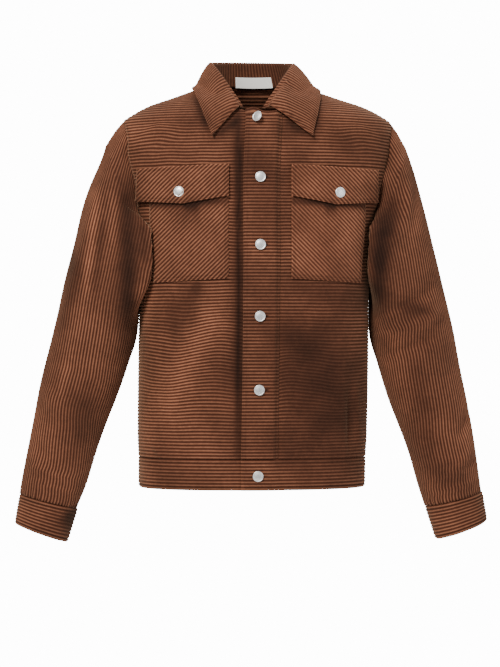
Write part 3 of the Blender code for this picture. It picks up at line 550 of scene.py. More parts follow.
def makeCorduroy():
    # grooves partly their own dark ground and partly painted shade, warm pile on the cords with a painted
    # highlight on the crests, painted light and shade from the spots, patchy tone and short fibres
    material, node, ramp, surface = nodeMaterial("corduroy")
    place = node("TexCoord", {})["Object"]
    cord = node("Attribute", {}, attribute_name="cord")["Fac"]
    paintedShading = node("Attribute", {}, attribute_name="paintedShading")["Fac"]

    def noise(scale, detail, roughness):
        grain = {"Vector": place, "Scale": scale, "Detail": detail, "Roughness": roughness}
        return node("TexNoise", grain)["Fac"]

    def spread(value, fromMin, fromMax, toMin, toMax):
        return node("MapRange", {"Value": value, "From Min": fromMin, "From Max": fromMax,
                                 "To Min": toMin, "To Max": toMax})[0]

    def multiply(a, b):
        return node("Math", {0: a, 1: b}, operation="MULTIPLY")[0]

    fibre = noise(1400.0, 2.0, 0.7)
    patches = spread(noise(17.0, 4.0, 0.62), 0.32, 0.68, 0.82, 1.16)
    streaks = spread(noise(150.0, 3.0, 0.6), 0.30, 0.70, 0.86, 1.14)
    height = node("Math", {0: fibre, 1: corduroy["fibre"], 2: cord}, operation="MULTIPLY_ADD")[0]
    height = node("Math", {0: height, 1: corduroy["fibre"] / 2}, operation="SUBTRACT")[0]
    browns = ramp(height, [(0.05, corduroy["groove"]), (0.50, corduroy["flank"]), (1.0, corduroy["crest"])])
    # random patches and streaks of tone, times the painted light and shade
    toneAndPaintedShade = multiply(multiply(patches, streaks), paintedShading)
    surface({
        "Base Color": node("VectorMath", {0: browns, "Scale": toneAndPaintedShade}, operation="SCALE")[0],
        "Normal": node("Bump", {"Strength": 0.5, "Distance": 0.0004, "Height": fibre})[0],
        "Roughness": corduroy["roughness"],
        "Specular IOR Level": 0.15,
        "Sheen Weight": corduroy["sheen"],
        "Sheen Roughness": corduroy["sheenRoughness"],
        "Sheen Tint": (*corduroy["sheenTint"], 1),
    })
    return material


def makeMetal():
    # brushed pale metal with small dents and fine scratches
    material, node, ramp, surface = nodeMaterial("buttonMetal")
    place = node("TexCoord", {})["Object"]
    dents = node("TexNoise", {"Vector": place, "Scale": 420.0, "Detail": 3.0})["Fac"]
    scratch = node("TexNoise", {"Vector": place, "Scale": 2600.0, "Detail": 2.0})["Fac"]
    surface({
        "Base Color": ramp(dents, [(0.30, (0.74, 0.735, 0.72)), (0.70, (0.97, 0.965, 0.95))]),
        "Normal": node("Bump", {"Strength": 0.25, "Distance": 0.0003, "Height": dents})[0],
        "Roughness": node("MapRange", {"Value": scratch, "To Min": 0.30, "To Max": 0.52})[0],
        "Metallic": 0.85,
    })
    return material


def makeLabelCloth():
    # off-white satin tape, finely ribbed, with nothing woven on it
    material, node, ramp, surface = nodeMaterial("labelCloth")
    place = node("TexCoord", {})["Object"]
    weave = node("TexWave", {"Vector": place, "Scale": 900.0, "Distortion": 0.4}, bands_direction="Z")["Fac"]
    surface({
        "Base Color": ramp(weave, [(0.2, (0.93, 0.92, 0.89)), (0.8, (0.99, 0.985, 0.96))]),
        "Normal": node("Bump", {"Strength": 0.3, "Distance": 0.0002, "Height": weave})[0],
        "Roughness": 0.55,
    })
    return material


corduroyMaterial, metalMaterial, labelMaterial = makeCorduroy(), makeMetal(), makeLabelCloth()


def finishPiece(obj, material, node):
    obj.data.materials.append(material)
    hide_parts(node)
    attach(obj, "root")


def finishCloth(obj, node):
    finishPiece(obj, corduroyMaterial, node)


# fronts and back
panels = dict(frontColumns=52, backColumns=46, stitchAt=0.0062, lapUnder=0.0018, lapDrop=0.0009,
              lapClear=0.0022, sagEdge=0.022, sagTopZ=-0.050, sagFade=0.02, neckFromZ=-0.020)


def panelPoints(face, side, startX, columns, heights):
    # rows at the given heights, columns spread evenly round the ring
    inner, outer = panelEdges(face, side, heights)
    inner = np.maximum(inner, startX) if face == front else np.zeros_like(inner)
    z = heights[:, None] * np.ones(columns + 1)
    width, power = bodyTable("width", heights), 2 / bodyTable("square", heights)
    start = np.arcsin(np.clip(inner / width, 0, 1) ** (1 / power))
    end = np.arcsin(np.clip(outer / width, 0, 1) ** (1 / power))
    turn = mix(start[:, None], end[:, None], np.linspace(0, 1, columns + 1)[None])
    x = width[:, None] * np.sin(turn) ** power[:, None]
    x = np.clip(x, inner[:, None], outer[:, None])
    if face == back:
        lift = smoothStep((heights - panels["neckFromZ"]) / (rowsSet["topZ"] - panels["neckFromZ"]))[:, None]
        z = z + (necklineZ(back, x) - heights[-1]) * lift
        x = np.minimum(x, bodyTable("width", z))
    return side * x, z


def joinHalves(left, right):
    return np.concatenate([left[:, ::-1], right[:, 1:]], axis=1)


def pullIn(points, first=False, last=False, top=False):
    # open the seams: edges drawn back along the cloth
    firstColumn, lastColumn = (np.s_[:, 0], np.s_[:, 1]), (np.s_[:, -1], np.s_[:, -2])
    for use, (edge, inside) in ((first, firstColumn), (last, lastColumn), (top, (-1, -2))):
        if use:
            points[edge] = points[edge] + unit(points[inside] - points[edge]) * seamGap
    return points


def shoulderLap(z, edges, y, drop=0.0):
    # at the shoulder seam the back's inner edge reaches under the front's
    lap = np.zeros(z.shape + (3,))
    for column in edges:
        along = smoothStep((z[:, column] - shoulderZ - 0.001) / 0.004)
        lap[:, column] = along[:, None] * np.array([0.0, -y, -drop])
    return lap


def makeFronts():
    for name, side, startX in (("front_left", 1, placketSeamX + seamGap), ("front_right", -1, -underlapX)):
        x, z = panelPoints(front, side, max(startX, 0.0), panels["frontColumns"], rowHeights)
        if startX < 0:
            # this front runs past the centre, under the placket
            share = np.linspace(0, 1, x.shape[1])
            low = z[:, 0] < neckFrontZ
            x = np.where(low[:, None], x + (1 - share) ** 3 * -startX, x)
        inside = np.minimum(np.abs(x[:, -1:] - x), np.abs(x - x[:, :1]) + 0.5 * (startX > 0))
        down = smoothStep(inside / panels["sagEdge"])
        down = down * smoothStep((panels["sagTopZ"] - z) / panels["sagFade"])
        down = down * smoothStep((z - bandTopZ) / panels["sagFade"])
        z = z + sagDrop(x, z) * down
        points = pullIn(bodyPoint(front, x, z), last=True, top=True)
        gap = edgeGap(points, rows=(False, False), columns=(False, True))
        # the fronts get painted shadow beside the placket and under the collar
        obj = clothShell(name, points, rowCords[:, None], cloth, turned=side < 0, skip=(6, 1),
                         spots=frontPaintedShadows, roll=seamRoll(gap, stitch=panels["stitchAt"]),
                         lap=shoulderLap(z, (-1,), panels["lapClear"]))
        finishCloth(obj, name)


def makeBack():
    left, right = (panelPoints(back, side, 0.0, panels["backColumns"], rowHeights) for side in (1, -1))
    x, z = joinHalves(left[0], right[0]), joinHalves(left[1], right[1])
    points = pullIn(bodyPoint(back, x, z), first=True, last=True, top=True)
    gap = edgeGap(points, rows=(False, False))
    obj = clothShell("back", points, rowCords[:, None], cloth, roll=seamRoll(gap, stitch=panels["stitchAt"]),
                     lap=shoulderLap(z, (0, -1), panels["lapUnder"], panels["lapDrop"]))
    finishCloth(obj, "back")


placket = dict(columns=37, topRows=14, topLift=0.0062, liftX=-0.013, liftWidth=0.011, footRise=0.01,
               seamDepth=0.0012, stitchFromSeam=0.004, stitchPull=0.0006, stitchWidth=0.0013)


def placketRise(x):
    return (2 * cloth + layerGap) * smoothStep((placketSeamX - x) / (placketSeamX - underlapX - 0.002))


def makePlacket():
    keep = rowHeights < neckFrontZ - seamGap
    heights, cords = rowHeights[keep], rowCords[keep]
    x = np.linspace(placketEdgeX, placketSeamX, placket["columns"])[None] * np.ones((len(heights), 1))
    rowsDown = np.arange(len(heights)) - len(heights) + placket["topRows"]
    share = smoothStep(rowsDown / placket["topRows"])[:, None]
    z = heights[:, None] + (necklineZ(front, x) - seamGap - heights[-1]) * share
    z = z + seamGap * smoothStep((bandTopZ + placket["footRise"] - z) / placket["footRise"])
    z = z + placket["topLift"] * np.exp(-((x - placket["liftX"]) / placket["liftWidth"]) ** 2) * share
    points = bodyPoint(front, x, z, placketRise(x))
    gap = edgeGap(points, rows=(False, False), columns=(True, False))
    roll = seamRoll(gap, depth=placket["seamDepth"], stitch=panels["stitchAt"])
    fromStitch = (x - placketSeamX + placket["stitchFromSeam"]) / placket["stitchWidth"]
    roll = roll - placket["stitchPull"] * np.exp(-fromStitch ** 2)
    obj = clothShell("placket", points, cords[:, None], cloth, roll=roll, skip=(6, 3))
    finishCloth(obj, "placket")


# waistband
waistband = dict(frontColumns=52, backColumns=46, underColumns=4, crowding=0.8,
                 riseReach=0.016, riseRun=0.014)
bandSeam = dict(depth=0.0014, width=0.0026, stitch=0.0052)


def bandRise(x):
    share = smoothStep((underlapX + waistband["riseReach"] - x) / waistband["riseRun"])
    return (doubleCloth + layerGap) * share


def bandPart(side, startShare, columns, heights):
    turn = np.linspace(math.asin(max(startShare, 0.0)), math.pi / 2, columns + 1)
    share = np.sin(turn) ** waistband["crowding"]
    if startShare < 0:
        ahead = np.linspace(startShare, 0, waistband["underColumns"] + 1)[:-1]
        share = np.concatenate([ahead, share])
    return side * share[None] * bodyTable("width", heights)[:, None]


def makeWaistband():
    count = int(round((bandTopZ - seamGap - hemZ) / step))
    heights = np.linspace(hemZ, bandTopZ - seamGap, count + 1)
    cords = (np.arange(count + 1) / corduroy["samples"])[:, None]
    width = float(bodyTable("width", hemZ))
    for name, side, startX, flat in (
        ("waistband_front_left", 1, placketEdgeX, (0.30, 0.05)),
        ("waistband_front_right", -1, -underlapX, (0.29, 0.05)),
    ):
        x = bandPart(side, startX / width, waistband["frontColumns"], heights)
        z = heights[:, None] * np.ones_like(x)
        points = pullIn(bodyPoint(front, x, z, bandRise(x) if side > 0 else 0.0), last=True)
        obj = clothShell(name, points, cords, doubleCloth, turned=side < 0,
                         roll=seamRoll(edgeGap(points), **bandSeam))
        finishCloth(obj, name)
    x = joinHalves(*(bandPart(side, 0.0, waistband["backColumns"], heights) for side in (1, -1)))
    points = pullIn(bodyPoint(back, x, heights[:, None] * np.ones_like(x)), first=True, last=True)
    obj = clothShell("waistband_back", points, cords, doubleCloth, roll=seamRoll(edgeGap(points), **bandSeam))
    finishCloth(obj, "waistband_back")


# pockets and their flaps
pocket = dict(pitch=0.0049, topZ=-0.128, endDrop=0.051, pointDrop=0.061, slope=0.006, innerX=0.050,
              flapOuterX=0.193, bagTopDrop=0.006, bagTopOuterX=0.180, bagFootOuterX=0.166, bagFootZ=-0.311,
              bagWidth=0.128, flapWidth=0.155, flapHeight=0.058, grid=0.00105, puff=0.0016, flapLift=0.0026,
              shades={"left": 1.42, "right": 1.18})
flapShadow = dict(face=front, u0=0.020, v0=-0.184, u1=0.220, v1=-0.194, width=0.0075, shade=-0.75)
patchSeam = dict(depth=0.0013, width=0.0024, stitch=0.0055)
sides = {"left": 1, "right": -1}


def patchPoints(side, topZ, foot, outer, out, height, width, lift=0.0):
    # across runs to the outer end, share up from the foot (1) to the top (0)
    share = np.linspace(1, 0, int(height / pocket["grid"]) + 1)[:, None]
    across = np.linspace(0, 1, int(width / pocket["grid"]) + 1)[None]
    z = mix(topZ, foot(across), share) - pocket["slope"] * across
    x = side * (mix(pocket["innerX"], outer(share), across) + 0 * z)
    bulge = np.clip(np.sin(math.pi * share) * np.sin(math.pi * across), 0, 1) ** 0.7
    points = bodyPoint(front, x, z, out + pocket["puff"] * bulge + lift * share ** 2)
    return points, (z + side * x) / math.sqrt(2) / pocket["pitch"]


def bagOuter(share):
    return mix(pocket["bagTopOuterX"], pocket["bagFootOuterX"], share)


def flapFoot(across):
    middle = 1 - np.abs(across - 0.5) * 2
    return pocket["topZ"] - mix(pocket["endDrop"], pocket["pointDrop"], middle)


def makePockets():
    for name, side in sides.items():
        looks = dict(turned=side < 0, skip=(6, 6), shade=pocket["shades"][name])
        points, cords = patchPoints(
            side, pocket["topZ"] - pocket["bagTopDrop"], lambda across: pocket["bagFootZ"] + 0 * across,
            bagOuter, curveGap + cloth, pocket["topZ"] - pocket["bagFootZ"], pocket["bagWidth"])
        shadow = dict(flapShadow, u0=side * flapShadow["u0"], u1=side * flapShadow["u1"])
        gap = edgeGap(points, rows=(True, False))
        obj = clothShell("pocket_" + name, points, cords, cloth, spots=[shadow],
                         roll=seamRoll(gap, **patchSeam), **looks)
        finishCloth(obj, "pocket_" + name)
        points, cords = patchPoints(
            side, pocket["topZ"], flapFoot, lambda share: pocket["flapOuterX"] + 0 * share,
            2 * curveGap + 2 * cloth, pocket["flapHeight"], pocket["flapWidth"], pocket["flapLift"])
        obj = clothShell("flap_" + name, points, cords, cloth,
                         roll=seamRoll(edgeGap(points), **patchSeam), **looks)
        finishCloth(obj, "flap_" + name)


# sleeves and cuffs
# outer and inner end, half depth and forward hang down the sleeve
sleeveRings = table("at outX outZ inX inZ depth y", [
    (0.06, 0.2475, -0.092, 0.197, -0.242, 0.068, 0.000),
    (0.12, 0.2657, -0.145, 0.194, -0.258, 0.070, -0.001),
    (0.18, 0.2813, -0.198, 0.192, -0.282, 0.070, -0.002),
    (0.24, 0.2937, -0.251, 0.191, -0.312, 0.069, -0.004),
    (0.30, 0.3069, -0.304, 0.191, -0.352, 0.068, -0.006),
    (0.36, 0.3185, -0.356, 0.194, -0.400, 0.066, -0.009),
    (0.42, 0.3308, -0.409, 0.208, -0.449, 0.063, -0.013),
    (0.48, 0.3416, -0.462, 0.225, -0.499, 0.060, -0.018),
    (0.54, 0.3515, -0.515, 0.243, -0.548, 0.056, -0.024),
    (0.60, 0.3614, -0.568, 0.260, -0.597, 0.052, -0.030),
    (0.66, 0.3696, -0.620, 0.274, -0.645, 0.048, -0.036),
    (0.71, 0.3755, -0.657, 0.286, -0.680, 0.045, -0.040),
])
cuffRings = table("at outX outZ inX inZ depth y", [
    (0.0, 0.3753, -0.6578, 0.2865, -0.6808, 0.0445, -0.040),
    (1.0, 0.3830, -0.7050, 0.303, -0.7340, 0.0405, -0.046),
])
sleeves = dict(
    pitch=0.0050, rows=138, capRows=18, capEnd=0.06, end=0.71, capSpeed=1.48, foldFade=0.08,
    clear=0.0035, clearToZ=-0.42, startGap=0.0003,                # from the body
    roundScale=0.062, lean=0.2215, axis=0.174, straightFrom=0.24,   # how its cords are spaced
    swing={"left": -0.006, "right": 0.006}, swingTopZ=-0.30, swingLength=0.42,
    swell={"left": 0.001, "right": -0.006}, swellZ=-0.108, swellWidth=0.045,
    tuckReach={"left": 0.032, "right": 0.044}, tuckForward=0.022, tuckClear=0.0095,
    tuckTurn=2.15, tuckWidth=0.55, tuckTopZ=-0.185, tuckFootZ=-0.400,
    allowance=0.005, allowanceTurn=0.001, allowanceDrop=0.0028,     # under the edge of the armhole
    gatherDepth=0.0011, gatherLength=0.016, gathers=19, capDip=0.012, seamWidth=0.003, seamDepth=0.0006,
)
sleeveFolds = {
    "right": table("u0 v0 u1 v1 width height", [
        (0.08, 0.95, 0.44, 0.60, 0.016, 0.0050),
        (0.10, 1.65, 0.34, 1.35, 0.016, -0.0045),
        (0.08, 2.20, 0.26, 2.05, 0.014, 0.0035),
        (0.44, 0.90, 0.50, 2.10, 0.016, -0.0040),
        (0.50, 0.50, 0.56, 1.60, 0.016, 0.0040),
        (0.60, 0.60, 0.66, 2.00, 0.013, -0.0035),
        (0.38, 4.10, 0.46, 5.60, 0.020, -0.0050),
        (0.12, 4.20, 0.30, 4.90, 0.020, 0.0045),
    ]),
    "left": table("u0 v0 u1 v1 width height", [
        (0.08, 0.85, 0.22, 1.90, 0.016, 0.0055),
        (0.06, 1.60, 0.20, 2.40, 0.015, -0.0050),
        (0.31, 0.70, 0.34, 2.20, 0.012, -0.0045),
        (0.36, 0.60, 0.38, 2.00, 0.012, 0.0045),
        (0.40, 0.90, 0.41, 2.30, 0.012, -0.0035),
        (0.55, 0.30, 0.60, 1.30, 0.013, -0.0045),
        (0.61, 0.50, 0.67, 1.90, 0.014, 0.0040),
        (0.38, 4.20, 0.44, 5.70, 0.020, -0.0050),
        (0.14, 4.40, 0.32, 4.80, 0.020, 0.0040),
    ]),
}
sleeveCreases = {  # finer ones, only here
    "right": table("u0 v0 u1 v1 width height", [
        (0.645, 0.50, 0.655, 1.50, 0.006, 0.0018),
        (0.675, 0.90, 0.685, 2.30, 0.006, 0.0018),
        (0.47, 1.10, 0.475, 2.50, 0.007, 0.0016),
        (0.42, 1.60, 0.43, 2.70, 0.008, -0.0016),
    ]),
    "left": table("u0 v0 u1 v1 width height", [
        (0.335, 1.30, 0.345, 2.60, 0.007, 0.0020),
        (0.39, 1.40, 0.395, 2.60, 0.007, 0.0018),
        (0.64, 0.40, 0.648, 1.40, 0.006, -0.0020),
        (0.68, 0.70, 0.69, 2.10, 0.006, 0.0018),
    ]),
}


def ringPoint(ring, name, turn, out):
    halfX, halfZ = (ring["outX"] - ring["inX"]) / 2, (ring["outZ"] - ring["inZ"]) / 2
    half = np.hypot(halfX, halfZ)
    reach = (half + out) * np.cos(turn) / half
    x = (ring["outX"] + ring["inX"]) / 2 + halfX * reach
    z = (ring["outZ"] + ring["inZ"]) / 2 + halfZ * reach
    y = ring["y"] - (ring["depth"] + out) * np.sin(turn)
    x = x + sleeves["swing"][name] * smoothStep((sleeves["swingTopZ"] - z) / sleeves["swingLength"])
    return np.stack([sides[name] * x, y + 0 * x, z], axis=-1)


def tuckSleeve(name, point, turn):
    # swell of the cap, and the front of the sleeve where it lies over the body
    side, z = sides[name], point[..., 2]
    cap = np.exp(-((z - sleeves["swellZ"]) / sleeves["swellWidth"]) ** 2)
    point[..., 0] += side * sleeves["swell"][name] * np.maximum(0.0, np.cos(turn)) * cap
    level = smoothStep((sleeves["tuckTopZ"] - z) / 0.05) * smoothStep((z - sleeves["tuckFootZ"]) / 0.110)
    share = level * np.exp(-((turn - sleeves["tuckTurn"]) / sleeves["tuckWidth"]) ** 2)
    point[..., 0] -= side * sleeves["tuckReach"][name] * share
    point[..., 1] -= sleeves["tuckForward"] * share
    cleared = clearBody(point, sleeves["tuckClear"] * smoothStep(share / 0.08))
    return np.where((share > 0.003)[..., None], cleared, point)


def armholePoint(side, turn, out=0.0):
    face = np.where(turn <= math.pi, front, back)
    level = np.minimum(turn, 2 * math.pi - turn)
    start = np.zeros((*turn.shape, 3))
    for oneFace in (front, back):
        pick = face == oneFace
        x, z = armholeAt(oneFace, side, level[pick])
        start[pick] = bodyPoint(oneFace, side * x, z, out, fine=False)
    return start


def armholeNormal(side, turn):
    return (armholePoint(side, turn, 0.001) - armholePoint(side, turn)) / 0.001


def sleevePoint(name, at, turn):
    side = sides[name]
    at, turn = np.broadcast_arrays(at, turn)
    wrapped = np.mod(turn, 2 * math.pi)
    ring = {c: tableValue(sleeveRings, "at", c, at) for c in ("outX", "outZ", "inX", "inZ", "depth", "y")}
    clear = bodyTable("width", ring["inZ"]) + sleeves["clear"]
    beside = ring["inZ"] > sleeves["clearToZ"]
    ring["inX"] = np.where(beside, np.maximum(ring["inX"], clear), ring["inX"])
    out = np.zeros_like(at)
    scale = sleeves["roundScale"]
    for fold in sleeveFolds[name] + sleeveCreases[name]:
        scaled = dict(fold, v0=fold["v0"] * scale, v1=fold["v1"] * scale)
        out = out + foldHeight(at, wrapped * scale, scaled)
    out = out * smoothStep(at / sleeves["foldFade"])
    gather = np.exp(-(sleeves["end"] - at) / sleeves["gatherLength"]) * (0.7 + 0.5 * np.sin(3 * turn + side))
    pleats = 1 - np.cos(sleeves["gathers"] * turn + 1.3 * np.sin(5 * turn))
    out = out - sleeves["gatherDepth"] * gather * pleats
    out = out + 0.0009 * wander(at * 0.6, np.cos(turn) * scale, 0.020, 31 + side) * smoothStep(at / 0.05)
    point = tuckSleeve(name, ringPoint(ring, name, turn, out), wrapped)
    start = armholePoint(side, wrapped)
    start[..., 0] += side * sleeves["startGap"]
    if np.min(at) < 0:
        # the seam allowance: down past the body's edge, then in under it
        around = armholePoint(side, np.mod(wrapped + 0.01, 2 * math.pi)) - armholePoint(side, wrapped)
        bodyNormal = armholeNormal(side, wrapped)
        inward = unit(-np.cross(bodyNormal, around) * side)
        down = sleeves["allowanceDrop"] * np.clip(-at / sleeves["allowanceTurn"], 0, 1)
        under = np.clip(-at - sleeves["allowanceTurn"], 0, None)
        start = start - bodyNormal * down[..., None] + inward * under[..., None]
    cap = np.clip(at / sleeves["capEnd"], 0, 1)[..., None]
    return mix(start, point, cap * (sleeves["capSpeed"] - (sleeves["capSpeed"] - 1) * cap))


def sleeveNormals(name, at, turn):
    side, e = sides[name], 0.0004
    along = (sleevePoint(name, np.minimum(at + e, sleeves["end"]), turn)
             - sleevePoint(name, np.maximum(at - e, 0.0), turn))
    around = sleevePoint(name, at, turn + 0.004) - sleevePoint(name, at, turn - 0.004)
    normal = unit(np.cross(around, along)) * side
    # at the armhole the edge dips with the body's, so no slit opens
    bodyNormal = armholeNormal(side, np.mod(turn, 2 * math.pi))
    return unit(mix(bodyNormal, normal, smoothStep(at / sleeves["capDip"])[..., None]))


def makeSleeves():
    armStep = sleeves["pitch"] / corduroy["samples"]
    for name, side in sides.items():
        capRows, armRows = sleeves["capRows"], sleeves["rows"] - sleeves["capRows"]
        ahead = np.concatenate([[-sleeves["allowance"], -sleeves["allowanceTurn"]],
                                np.linspace(0, sleeves["capEnd"], capRows)[:-1],
                                np.linspace(sleeves["capEnd"], sleeves["end"], armRows + 1)])
        dense = np.linspace(-math.pi, math.pi, 721)
        outer = slice(360, 361)     # the middle one, down the outside of the arm
        ring = sleevePoint(name, ahead[:, None], dense[None])
        # cords run along the arm: spaced square to it, and straight up through the cap
        square = math.hypot(1, sleeves["lean"])
        across = (ring[..., 0] * side + ring[..., 2] * sleeves["lean"]) / square
        forward = ring[..., 1]
        length = np.hypot(np.diff(across, axis=1), np.diff(forward, axis=1))
        length = np.concatenate([np.zeros((len(ahead), 1)), np.cumsum(length, axis=1)], axis=1)
        length = length - length[:, outer]
        level = int(np.searchsorted(ahead, sleeves["straightFrom"]))
        angle = np.unwrap(np.arctan2(-forward, across - sleeves["axis"]), axis=1)
        angle = angle - 2 * math.pi * np.round(angle[:, outer] / (2 * math.pi))
        for i in range(level):
            length[i] = np.interp(angle[i], angle[level], length[level])
        first, last = -math.ceil(-length[:, 0].min() / armStep), math.ceil(length[:, -1].max() / armStep)
        lines = np.arange(first, last + 1) * armStep
        turn = np.stack([np.interp(lines, length[i], dense) for i in range(len(ahead))])
        at = ahead[:, None] * np.ones_like(turn)
        normals = sleeveNormals(name, at, turn)
        points = sleevePoint(name, at, turn) + normals * (cloth * smoothStep(at / 0.02))[..., None]
        seam = np.minimum(lines[None] - length[:, :1], length[:, -1:] - lines[None])
        mask = smoothStep(seam / sleeves["seamWidth"])
        roll = seamRoll(np.maximum(at, 0), depth=sleeves["seamDepth"]) * mask
        obj = clothShell("sleeve_" + name, points, (lines / sleeves["pitch"])[None], cloth, turned=side < 0,
                         closed=True, normals=normals, mask=mask, roll=roll, skip=(2, 6))
        finishCloth(obj, "sleeve_" + name)
        makeCuff(name, side)


cuffs = dict(rows=61, columns=121, waves=7, waveHeight=0.0006)


def makeCuff(name, side):
    share = np.linspace(0, 1, cuffs["rows"])[:, None]
    turn = np.linspace(0, 2 * math.pi, cuffs["columns"])[None]
    ring = {c: mix(cuffRings[0][c], cuffRings[1][c], share) for c in cuffRings[0]}
    out = doubleCloth + cuffs["waveHeight"] * np.sin(cuffs["waves"] * turn + side)
    points = ringPoint(ring, name, turn + 0 * share, out)
    points[:, -1] = points[:, 0]
    cords = (np.arange(cuffs["rows"]) / corduroy["samples"])[:, None]
    gap = edgeGap(points, columns=(False, False))
    obj = clothShell("cuff_" + name, points, cords, doubleCloth, turned=side < 0, closed=True,
                     roll=seamRoll(gap, **bandSeam))
    finishCloth(obj, "cuff_" + name)


# collar
leafEdge = table("turn x y z", [  # outer edge of the leaf, by the turn from the front (0) to the back (1)
    (0.00, 0.0812, -0.1130, -0.0810),
    (0.15, 0.0885, -0.0900, -0.0560),
    (0.30, 0.0970, -0.0580, -0.0260),
    (0.45, 0.1030, -0.0180, -0.0040),
    (0.60, 0.0980, 0.0250, 0.0000),
    (0.75, 0.0760, 0.0620, 0.0010),
    (0.90, 0.0340, 0.0870, 0.0000),
    (1.00, 0.0000, 0.0930, -0.0010),
])
collar = dict(
    halfWidth=0.070, frontY=-0.084, backY=0.060, frontZ=-0.035, sideZ=0.047, backZ=0.0555,   # the fold line
    shift=-0.004, frontShift=-0.008,
    tipShift=0.005, leafFrontX=0.0150, clear=0.0050, clearFront=0.0076, rows=36, overRows=6,
    bend=0.42, bendFrontZ=0.38, bendSideZ=0.26, cordLean=0.040, leanReach=0.170,
    edgeWidth=0.0022, meet=0.0002,
    standInset=0.0032, standDrop=0.0020, standLift=0.0016, standEnd=0.48, standRows=13,
    standFrontDrop=0.0112, standFrontInset=0.0133, standFoot=(0.980, 0.975, 1.0),
)
leafSeam = dict(depth=0.0014, width=0.0026, stitch=0.0062, pull=0.0007)


def rollPoint(angle, drop=0.0, inside=0.0):
    # fold line of the collar: angle 0 is the front centre, pi the back
    ahead = np.cos(angle) > 0
    x = (collar["halfWidth"] - inside) * np.sin(angle)
    y = -np.cos(angle) * (np.where(ahead, -collar["frontY"], collar["backY"]) - inside)
    level = collar["leafFrontX"] / collar["halfWidth"]
    rise = np.where(ahead, np.clip((np.abs(np.sin(angle)) - level) / (1 - level), 0, 1), 1.0)
    z = mix(collar["frontZ"], collar["sideZ"], rise)
    z = np.where(ahead, z, mix(collar["sideZ"], collar["backZ"], -np.cos(angle)))
    x = x + mix(collar["shift"], collar["frontShift"], np.maximum(0.0, np.cos(angle)) ** 2)
    return np.stack([x, y, z - drop], axis=-1)


def leafStart():
    return math.asin(collar["leafFrontX"] / collar["halfWidth"])


def leafPoint(angle, share):
    turn = (angle - leafStart()) / (math.pi - leafStart())
    side = np.where(turn <= 1, 1.0, -1.0)
    turn = np.where(turn <= 1, turn, 2 - turn)
    edge = np.stack([tableValue(leafEdge, "turn", axis, turn) for axis in "xyz"], axis=-1)
    edge[..., 0] = side * edge[..., 0] + collar["tipShift"] * (1 - turn) ** 2
    fold = rollPoint(angle)
    bend = mix(fold, edge, collar["bend"])
    roundSide = smoothStep(turn / 0.35)
    level = mix(collar["bendFrontZ"], collar["bendSideZ"], roundSide)
    bend[..., 2] = mix(fold[..., 2], edge[..., 2], level) + mix(0.003, 0.002, roundSide)
    share = share[..., None]
    point = mix(mix(fold, bend, share), mix(bend, edge, share), share)
    clear = mix(collar["clearFront"], collar["clear"], smoothStep((np.abs(point[..., 0]) - 0.040) / 0.025))
    return mix(point, clearBody(point, clear), smoothStep((share - 0.05) / 0.1))


def standPoint(angle, share):
    face = np.where(np.cos(angle) > 0, front, back)
    x = neckSideX * np.sin(angle)
    foot = np.where((face == front)[..., None], bodyPoint(front, x, necklineZ(front, x), fine=False),
                    bodyPoint(back, x, necklineZ(back, x), fine=False))
    foot = foot * np.array(collar["standFoot"]) + np.array([0, 0, collar["standLift"]])
    ahead = np.maximum(0.0, np.cos(angle))
    top = rollPoint(angle, collar["standDrop"] + collar["standFrontDrop"] * ahead,
                    collar["standInset"] + collar["standFrontInset"] * ahead)
    return mix(foot, top, share[..., None])


def runLength(ring):
    return np.concatenate([[0], np.cumsum(np.linalg.norm(np.diff(ring, axis=0), axis=-1))])


def makeLeaf():
    dense = np.linspace(leafStart(), 2 * math.pi - leafStart(), 1441)
    length = runLength(leafPoint(dense, np.full_like(dense, 0.55)))
    # the cords lean towards the tips, so they run off the front edges
    lean, half = collar["cordLean"], length[-1] / 2
    lines = np.arange(-round(lean / step), round((length[-1] + lean) / step) + 1) * step
    share = np.linspace(1, 0, collar["rows"] + 1)[:, None]
    fromEnd = np.minimum(lines, 2 * half - lines)[None]
    leaning = lean * (share - 0.35) * (1 - smoothStep(fromEnd / collar["leanReach"]))
    fromEnd = np.clip(fromEnd + leaning, 0, half)
    away = np.where(lines[None] < half, fromEnd, 2 * half - fromEnd)
    angles, cords = np.interp(away, length, dense), lines / corduroy["pitch"]
    mask = smoothStep(np.minimum(away, 2 * half - away) / collar["edgeWidth"])
    mask = np.concatenate([mask, np.repeat(mask[-1:], collar["overRows"], axis=0)])
    points = leafPoint(angles, share + 0 * angles)
    normals = gridNormals(points, turned=False)
    # the cloth rolls over the fold and meets its own back
    onward = points[-1] - points[-2]
    onward = unit(onward - normals[-1] * (onward * normals[-1]).sum(axis=-1, keepdims=True))
    over = np.linspace(0, math.pi, collar["overRows"] + 1)[1:, None, None]
    around = normals[-1] * np.cos(over) + onward * np.sin(over)
    centre = points[-1] - normals[-1] * (doubleCloth / 2)
    wall = np.full((points.shape[0] + collar["overRows"], 1, 1), doubleCloth)
    wall[-1] = collar["meet"]
    points = np.concatenate([points, centre + doubleCloth / 2 * around])
    normals = np.concatenate([normals, around])
    gap = edgeGap(points, rows=(True, False))
    obj = clothShell("collar_leaf", points, cords[None], wall, shade=1.14, skip=(6, 6), normals=normals,
                     mask=mask, weld=True, roll=seamRoll(gap, **leafSeam))
    finishCloth(obj, "collar_leaf")


